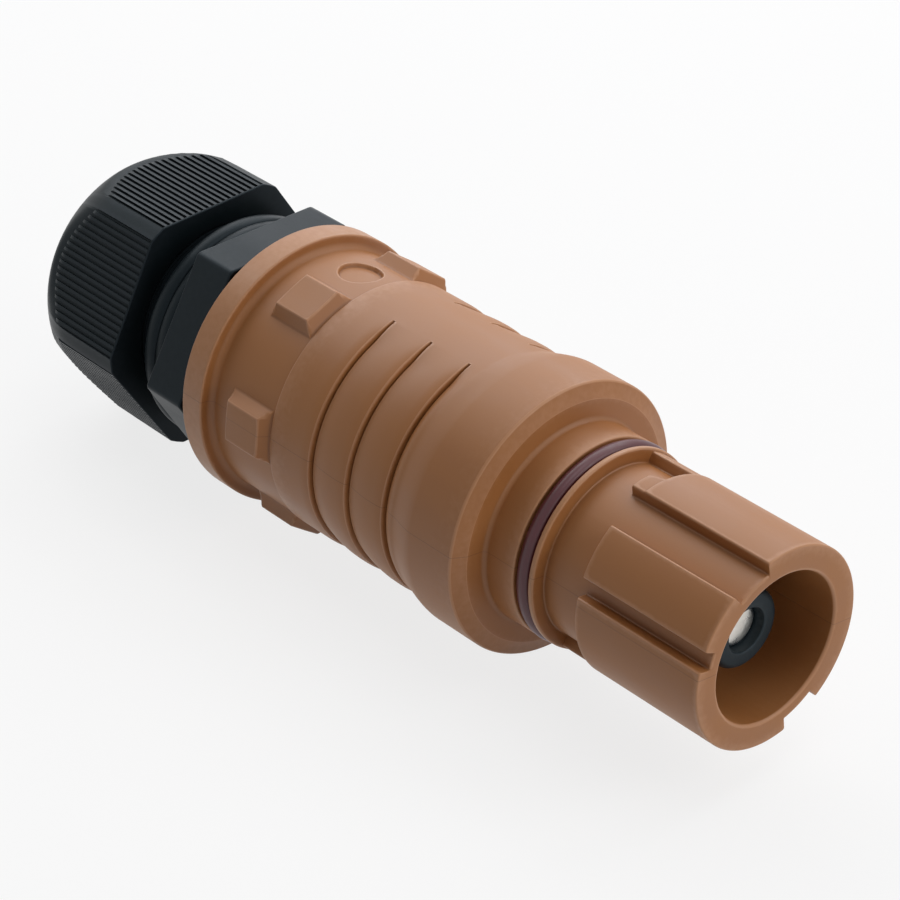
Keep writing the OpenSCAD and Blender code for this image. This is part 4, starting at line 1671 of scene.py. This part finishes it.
    def crown(self) -> Pattern:
        """Builds the tree of the clamping fingers.

        Returns:
            The tree.
        """
        wall = self.finger_r - self.sleeve_r - self.sleeve_gap
        pattern = Pattern("clamping fingers", {
            "Fingers": self.fingers, "Middle radius": self.finger_r - wall / 2.0, "Wall": wall,
            "Length": self.finger_rear - self.thread_rear, "Slit": self.finger_slit,
            "Start": self.thread_rear})
        wiring, given = pattern.wiring, pattern.given
        whole = wiring.math("DIVIDE", math.tau, given["Fingers"])
        sweep = wiring.math("SUBTRACT", whole, wiring.math("DIVIDE", given["Slit"], given["Middle radius"]))
        arc = wiring.add("GeometryNodeCurveArc", {
            "Resolution": self.finger_points, "Radius": given["Middle radius"], "Sweep Angle": sweep},
            mode="RADIUS")
        upright = wiring.add("GeometryNodeSetCurveNormal", {"Curve": arc.outputs[0]}, mode="Z_UP")
        profile = wiring.add("GeometryNodeCurvePrimitiveQuadrilateral", mode="RECTANGLE")
        wiring.feed(profile.inputs["Width"], given["Wall"])
        wiring.feed(profile.inputs["Height"], given["Length"])
        finger = wiring.add("GeometryNodeCurveToMesh", {
            "Curve": upright.outputs[0], "Profile Curve": profile.outputs[0], "Fill Caps": True})
        ring = pattern.around(finger.outputs[0], given["Fingers"], 2)
        middle = wiring.math("MULTIPLY_ADD", given["Length"], 0.5, given["Start"])
        pattern.close(pattern.on_axis(ring, middle))
        return pattern

    def sleeve(self, shop: Workshop) -> None:
        """Builds the rubber sleeve that grips the cable.

        Args:
            shop: The workshop.
        """
        section = rounded([
            (self.sleeve_seat, self.cable_r, self.sleeve_foot),
            (self.sleeve_seat, self.sleeve_r, self.sleeve_edge),
            (self.finger_rear, self.sleeve_r, self.sleeve_edge),
            (self.finger_rear, self.cable_r, self.sleeve_lip)], segments=6)
        shop.turned("gland_seal", section, self.ring_columns, shop.finishes.black_rubber)

    def nut(self, shop: Workshop) -> None:
        """Builds the dome nut, with recessed flats that carry the ribs.

        Args:
            shop: The workshop.
        """
        panel = self.ribs * self.rib_pitch / 2.0 + self.rib_valley / 2.0
        wall = np.array((-self.panel_wall, self.panel_wall))
        angle = self.columns(self.nut_flat_r, np.concatenate((-panel - wall, panel + wall)))
        front = quarter(self.edge_flats)
        rib_front = self.nut_front + self.rib_start
        rows = np.concatenate((
            self.nut_front + self.nut_edge * (1.0 - np.sin(front))[::-1], rib_front + wall,
            np.linspace(rib_front + self.panel_lead, self.dome_front, self.panel_rows)))
        bend = quarter(self.dome_flats)[1:]
        dome_rows = self.dome_front + (self.nut_rear - self.dome_front) * np.sin(bend)
        dome_radius = self.face_r + (self.dome_r - self.face_r) * np.cos(bend)
        depth = np.concatenate((rows, dome_rows))[:, None]
        limit = np.concatenate((np.full(len(rows), self.dome_r + self.dome_room), dome_radius))[:, None]
        inset = np.zeros_like(depth)
        inset[:len(front), 0] = (self.nut_edge * (1.0 - np.cos(front)))[::-1]
        off = self.off_middle(angle)[None, :]
        sunk = (np.abs(np.tan(off)) * self.nut_flat_r < panel) & (depth > rib_front)
        sunk_r = (self.nut_flat_r - self.rib_depth) / np.cos(off)
        shape = np.where(sunk, sunk_r, self.hexagon(self.nut_flat_r, angle)[None, :] - inset)
        outside = soft_min(shape, limit, self.dome_soft)
        inner = rounded([
            (self.nut_rear, self.face_r - self.face_land, 0.0),
            (self.nut_rear, self.nut_mouth_r, self.mouth_round),
            (self.nut_rear - self.nut_mouth_len, self.nut_mouth_r, self.nut_edge),
            (self.finger_rear, self.nut_relief_r, 0.0), (self.thread_rear, self.nut_relief_r, 0.0),
            (self.thread_rear, self.nut_bore_r, 0.0), (self.nut_front, self.nut_bore_r, self.bore_round),
            (self.nut_front, self.nut_bore_r + self.bore_land, 0.0)], closed=False)
        all_depth = np.concatenate((depth, inner[:, :1]))
        radius = np.concatenate((outside, np.repeat(inner[:, 1:], len(angle), axis=1)))
        base = Skin().wrap(all_depth, radius, angle[None, :]).mesh("gland_nut")
        ribbed = self.rib_pattern().grow(base, shop.material(shop.finishes.black_nylon))
        ribbed.transform(Matrix.Rotation(-math.radians(self.nut_turn), 4, "X"))
        shop.add("gland_nut", ribbed, shop.finishes.black_nylon, sharp=self.nut_sharp)

    def rib_pattern(self) -> Pattern:
        """Builds the tree of the nut's ribs, which follow the flats and end short of the dome.

        Returns:
            The tree.
        """
        flat = self.nut_flat_r
        width = self.rib_pitch - self.rib_valley
        pattern = Pattern("nut ribs", {
            "Ribs": self.ribs, "Flats": self.sides, "Pitch": self.rib_pitch,
            "Foot width": width + self.rib_draft, "Top width": width - self.rib_draft,
            "Floor": flat - self.rib_depth, "Height": self.rib_depth + self.rib_sink,
            "Sink": self.rib_sink, "Start": self.nut_front + self.rib_start,
            "Flat": flat, "End": self.rib_end})
        wiring, given = pattern.wiring, pattern.given

        bar = wiring.add("GeometryNodeMeshCube", {
            "Vertices X": self.rib_points, "Vertices Y": 2, "Vertices Z": 2})
        size = wiring.add("ShaderNodeCombineXYZ", {0: 1.0, 1: given["Foot width"], 2: given["Height"]})
        wiring.feed(bar.inputs["Size"], size.outputs[0])
        position = wiring.add("GeometryNodeInputPosition")
        spot = wiring.add("ShaderNodeSeparateXYZ", {"Vector": position.outputs[0]}).outputs
        narrow = wiring.math("DIVIDE", given["Top width"], given["Foot width"])
        upper = wiring.math("GREATER_THAN", spot[2], 0.0)
        change = wiring.math("MULTIPLY", upper, wiring.math("SUBTRACT", narrow, 1.0))
        squeeze = wiring.math("ADD", 1.0, change)
        shaped = wiring.add("ShaderNodeCombineXYZ", {
            0: wiring.math("SUBTRACT", spot[0], 0.5), 1: wiring.math("MULTIPLY", spot[1], squeeze),
            2: wiring.math("MULTIPLY_ADD", given["Height"], 0.5, spot[2])})
        tapered = wiring.add("GeometryNodeSetPosition", {
            "Geometry": bar.outputs[0], "Position": shaped.outputs[0]})

        gaps = wiring.math("SUBTRACT", given["Ribs"], 1.0)
        first = wiring.math("MULTIPLY", gaps, wiring.math("MULTIPLY", given["Pitch"], -0.5))
        begin = wiring.add("ShaderNodeCombineXYZ", {
            0: wiring.math("MULTIPLY", given["Start"], -1.0), 1: first,
            2: wiring.math("SUBTRACT", given["Floor"], given["Sink"])})
        stride = wiring.add("ShaderNodeCombineXYZ", {1: given["Pitch"]})
        dots = wiring.add("GeometryNodeMeshLine", {
            "Count": given["Ribs"], "Start Location": begin.outputs[0], "Offset": stride.outputs[0]})
        reach = self.rib_reach(pattern, spot[1])
        length = wiring.math("SUBTRACT", reach, given["Start"])
        scale = wiring.add("ShaderNodeCombineXYZ", {0: length, 1: 1.0, 2: 1.0})
        bars = wiring.add("GeometryNodeInstanceOnPoints", {
            "Points": dots.outputs[0], "Instance": tapered.outputs[0], "Scale": scale.outputs[0]})
        real = wiring.add("GeometryNodeRealizeInstances", {"Geometry": bars.outputs[0]})

        ceiling = self.rib_ceiling(pattern, spot)
        height = wiring.math("MINIMUM", spot[2], ceiling)
        held = wiring.add("ShaderNodeCombineXYZ", {0: spot[0], 1: spot[1], 2: height})
        limited = wiring.add("GeometryNodeSetPosition", {
            "Geometry": real.outputs[0], "Position": held.outputs[0]})
        pattern.close(pattern.around(limited.outputs[0], given["Flats"], 0))
        return pattern

    def rib_reach(self, pattern: Pattern, across: bpy.types.NodeSocket) -> bpy.types.NodeSocket:
        """Works out where a rib's foot meets the cone that the ribs end on.

        Args:
            pattern: The ribs' tree.
            across: The distance from the flat's middle.

        Returns:
            The depth there.
        """
        wiring, given = pattern.wiring, pattern.given
        away = wiring.math("SQRT", wiring.math(
            "ADD", wiring.math("POWER", given["Floor"], 2.0), wiring.math("POWER", across, 2.0)))
        below = wiring.math("SUBTRACT", given["Flat"], away)
        slope = math.tan(math.radians(self.rib_slope))
        return wiring.math("MULTIPLY_ADD", below, 1.0 / slope, given["End"])

    def rib_ceiling(self, pattern: Pattern, spot: Sequence[bpy.types.NodeSocket]) -> bpy.types.NodeSocket:
        """Works out the cone's height over the axis at a place on a rib.

        Args:
            pattern: The ribs' tree.
            spot: The place's three coordinates.

        Returns:
            The height there.
        """
        wiring, given = pattern.wiring, pattern.given
        left = wiring.math("ADD", given["End"], spot[0])
        slope = math.tan(math.radians(self.rib_slope))
        radius = wiring.math("MULTIPLY_ADD", left, slope, given["Flat"])
        square = wiring.math(
            "SUBTRACT", wiring.math("POWER", radius, 2.0), wiring.math("POWER", spot[1], 2.0))
        return wiring.math("SQRT", wiring.math("MAXIMUM", square, 0.0))


@dataclass(frozen=True)
class SoftBox:
    """One studio lamp."""

    name: str
    place: Place
    power: float
    colour: tuple[float, float, float] = (1.0, 1.0, 1.0)
    size: tuple[float, float] = (0.7, 0.5)

    def build(self, aim: Vector) -> None:
        """Hangs the lamp and turns it to the object.

        Args:
            aim: The point that it faces.
        """
        lamp = bpy.data.lights.new(self.name, "AREA")
        lamp.shape = "RECTANGLE"
        lamp.size, lamp.size_y = self.size
        lamp.energy = self.power
        lamp.color = self.colour
        held = bpy.data.objects.new(self.name, lamp)
        held.location = self.place
        held.rotation_mode = "QUATERNION"
        held.rotation_quaternion = (aim - Vector(self.place)).to_track_quat("-Z", "Y")
        bpy.context.scene.collection.objects.link(held)


@dataclass
class Studio:
    """The pale floor, the lamps and the camera."""

    camera_place: Place = (0.2942, -0.3461, 0.3337)
    camera_way: Place = (-0.6257, 0.5619, -0.5411)
    lens: float = 120.0
    floor_z: float = -0.031
    floor_half: float = 4.0
    floor_share: float = 0.8
    floor_tone: tuple[float, ...] = (0.9, 0.9, 0.9, 1.0)
    white: tuple[float, ...] = (1.0, 1.0, 1.0, 1.0)
    ambient: float = 0.03
    sensor: float = 36.0
    clip: tuple[float, float] = (0.01, 50.0)
    lamps: tuple[SoftBox, ...] = (
        SoftBox("high back box", (-0.60, 0.50, 0.84), 2.9, (0.96, 0.97, 1.0)),
        SoftBox("low back box", (-0.83, 0.73, 0.38), 1.8, (0.93, 0.95, 1.0)),
        SoftBox("side box", (-0.10, 0.78, 0.77), 2.7, (0.98, 0.98, 1.0)),
        SoftBox("front box", (0.72, 0.46, 0.59), 3.5),
        SoftBox("nose box", (1.0, -0.08, 0.30), 1.4, size=(0.5, 0.4)),
        SoftBox("rear box", (-0.90, 0.04, 0.76), 2.8),
        SoftBox("top box", (0.15, 0.06, 1.05), 2.3),
    )

    def build(self, middle: Vector) -> None:
        """Sets up the studio.

        Args:
            middle: The object's middle.
        """
        self.floor()
        self.world()
        for lamp in self.lamps:
            lamp.build(middle)
        self.camera()
        bpy.context.scene.view_settings.view_transform = "Standard"

    def floor(self) -> None:
        """Lays the floor, which looks white and keeps a soft shadow."""
        half = self.floor_half
        mesh = bpy.data.meshes.new("floor")
        corners = [(-half, -half), (half, -half), (half, half), (-half, half)]
        mesh.from_pydata([(x, y, self.floor_z) for x, y in corners], [], [(0, 1, 2, 3)])
        floor = bpy.data.objects.new("floor", mesh)
        bpy.context.scene.collection.objects.link(floor)
        floor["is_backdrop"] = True
        material = bpy.data.materials.new("pale floor")
        material.use_nodes = True
        material.cycles.emission_sampling = "NONE"
        tree = material.node_tree
        tree.nodes.clear()
        wiring = Wiring(tree)
        matt = wiring.add("ShaderNodeBsdfDiffuse", {"Color": self.floor_tone})
        glow = wiring.add("ShaderNodeEmission", {"Color": self.white, "Strength": 1.0})
        share = wiring.math("MULTIPLY", self.seen(wiring), self.floor_share)
        mixed = wiring.add("ShaderNodeMixShader", {0: share, 1: matt.outputs[0], 2: glow.outputs[0]})
        wiring.add("ShaderNodeOutputMaterial", {"Surface": mixed.outputs[0]})
        mesh.materials.append(material)

    def seen(self, wiring: Wiring) -> bpy.types.NodeSocket:
        """Picks out the rays that see the white room: the camera's, reflected and let through.

        Args:
            wiring: The tree to work in.

        Returns:
            One for such a ray, else nought.
        """
        ray = wiring.add("ShaderNodeLightPath").outputs
        bent = wiring.math("MAXIMUM", ray["Is Glossy Ray"], ray["Is Transmission Ray"])
        return wiring.math("MAXIMUM", ray["Is Camera Ray"], bent)

    def world(self) -> None:
        """Makes the white surroundings, with a plain soft light."""
        world = bpy.data.worlds.new("white room")
        world.use_nodes = True
        bpy.context.scene.world = world
        tree = world.node_tree
        tree.nodes.clear()
        wiring = Wiring(tree)
        strength = wiring.math("MAXIMUM", self.seen(wiring), self.ambient)
        back = wiring.add("ShaderNodeBackground", {"Color": self.white, "Strength": strength})
        wiring.add("ShaderNodeOutputWorld", {"Surface": back.outputs[0]})

    def camera(self) -> None:
        """Sets the camera at the picture's angle."""
        data = bpy.data.cameras.new("camera")
        data.lens = self.lens
        data.sensor_width = self.sensor
        data.clip_start, data.clip_end = self.clip
        camera = bpy.data.objects.new("camera", data)
        camera.location = self.camera_place
        camera.rotation_mode = "QUATERNION"
        camera.rotation_quaternion = Vector(self.camera_way).to_track_quat("-Z", "Y")
        bpy.context.scene.collection.objects.link(camera)
        bpy.context.scene.camera = camera


def main() -> None:
    """Builds the connector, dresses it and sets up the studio."""
    logging.basicConfig(level=logging.INFO, format="%(name)s: %(message)s")
    cad_low, cad_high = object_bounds()
    Studio().build((cad_low + cad_high) / 2.0)
    shop = Workshop(Effects(), FinishRack())
    for assembly in (InsulatingShell(), NoseSeal(), Contact(), CableGland()):
        assembly.build(shop)
        LOG.info("%s is in place", type(assembly).__name__)
    LOG.info("%d pieces made", len(shop.pieces))


if __name__ == "__main__":
    main()
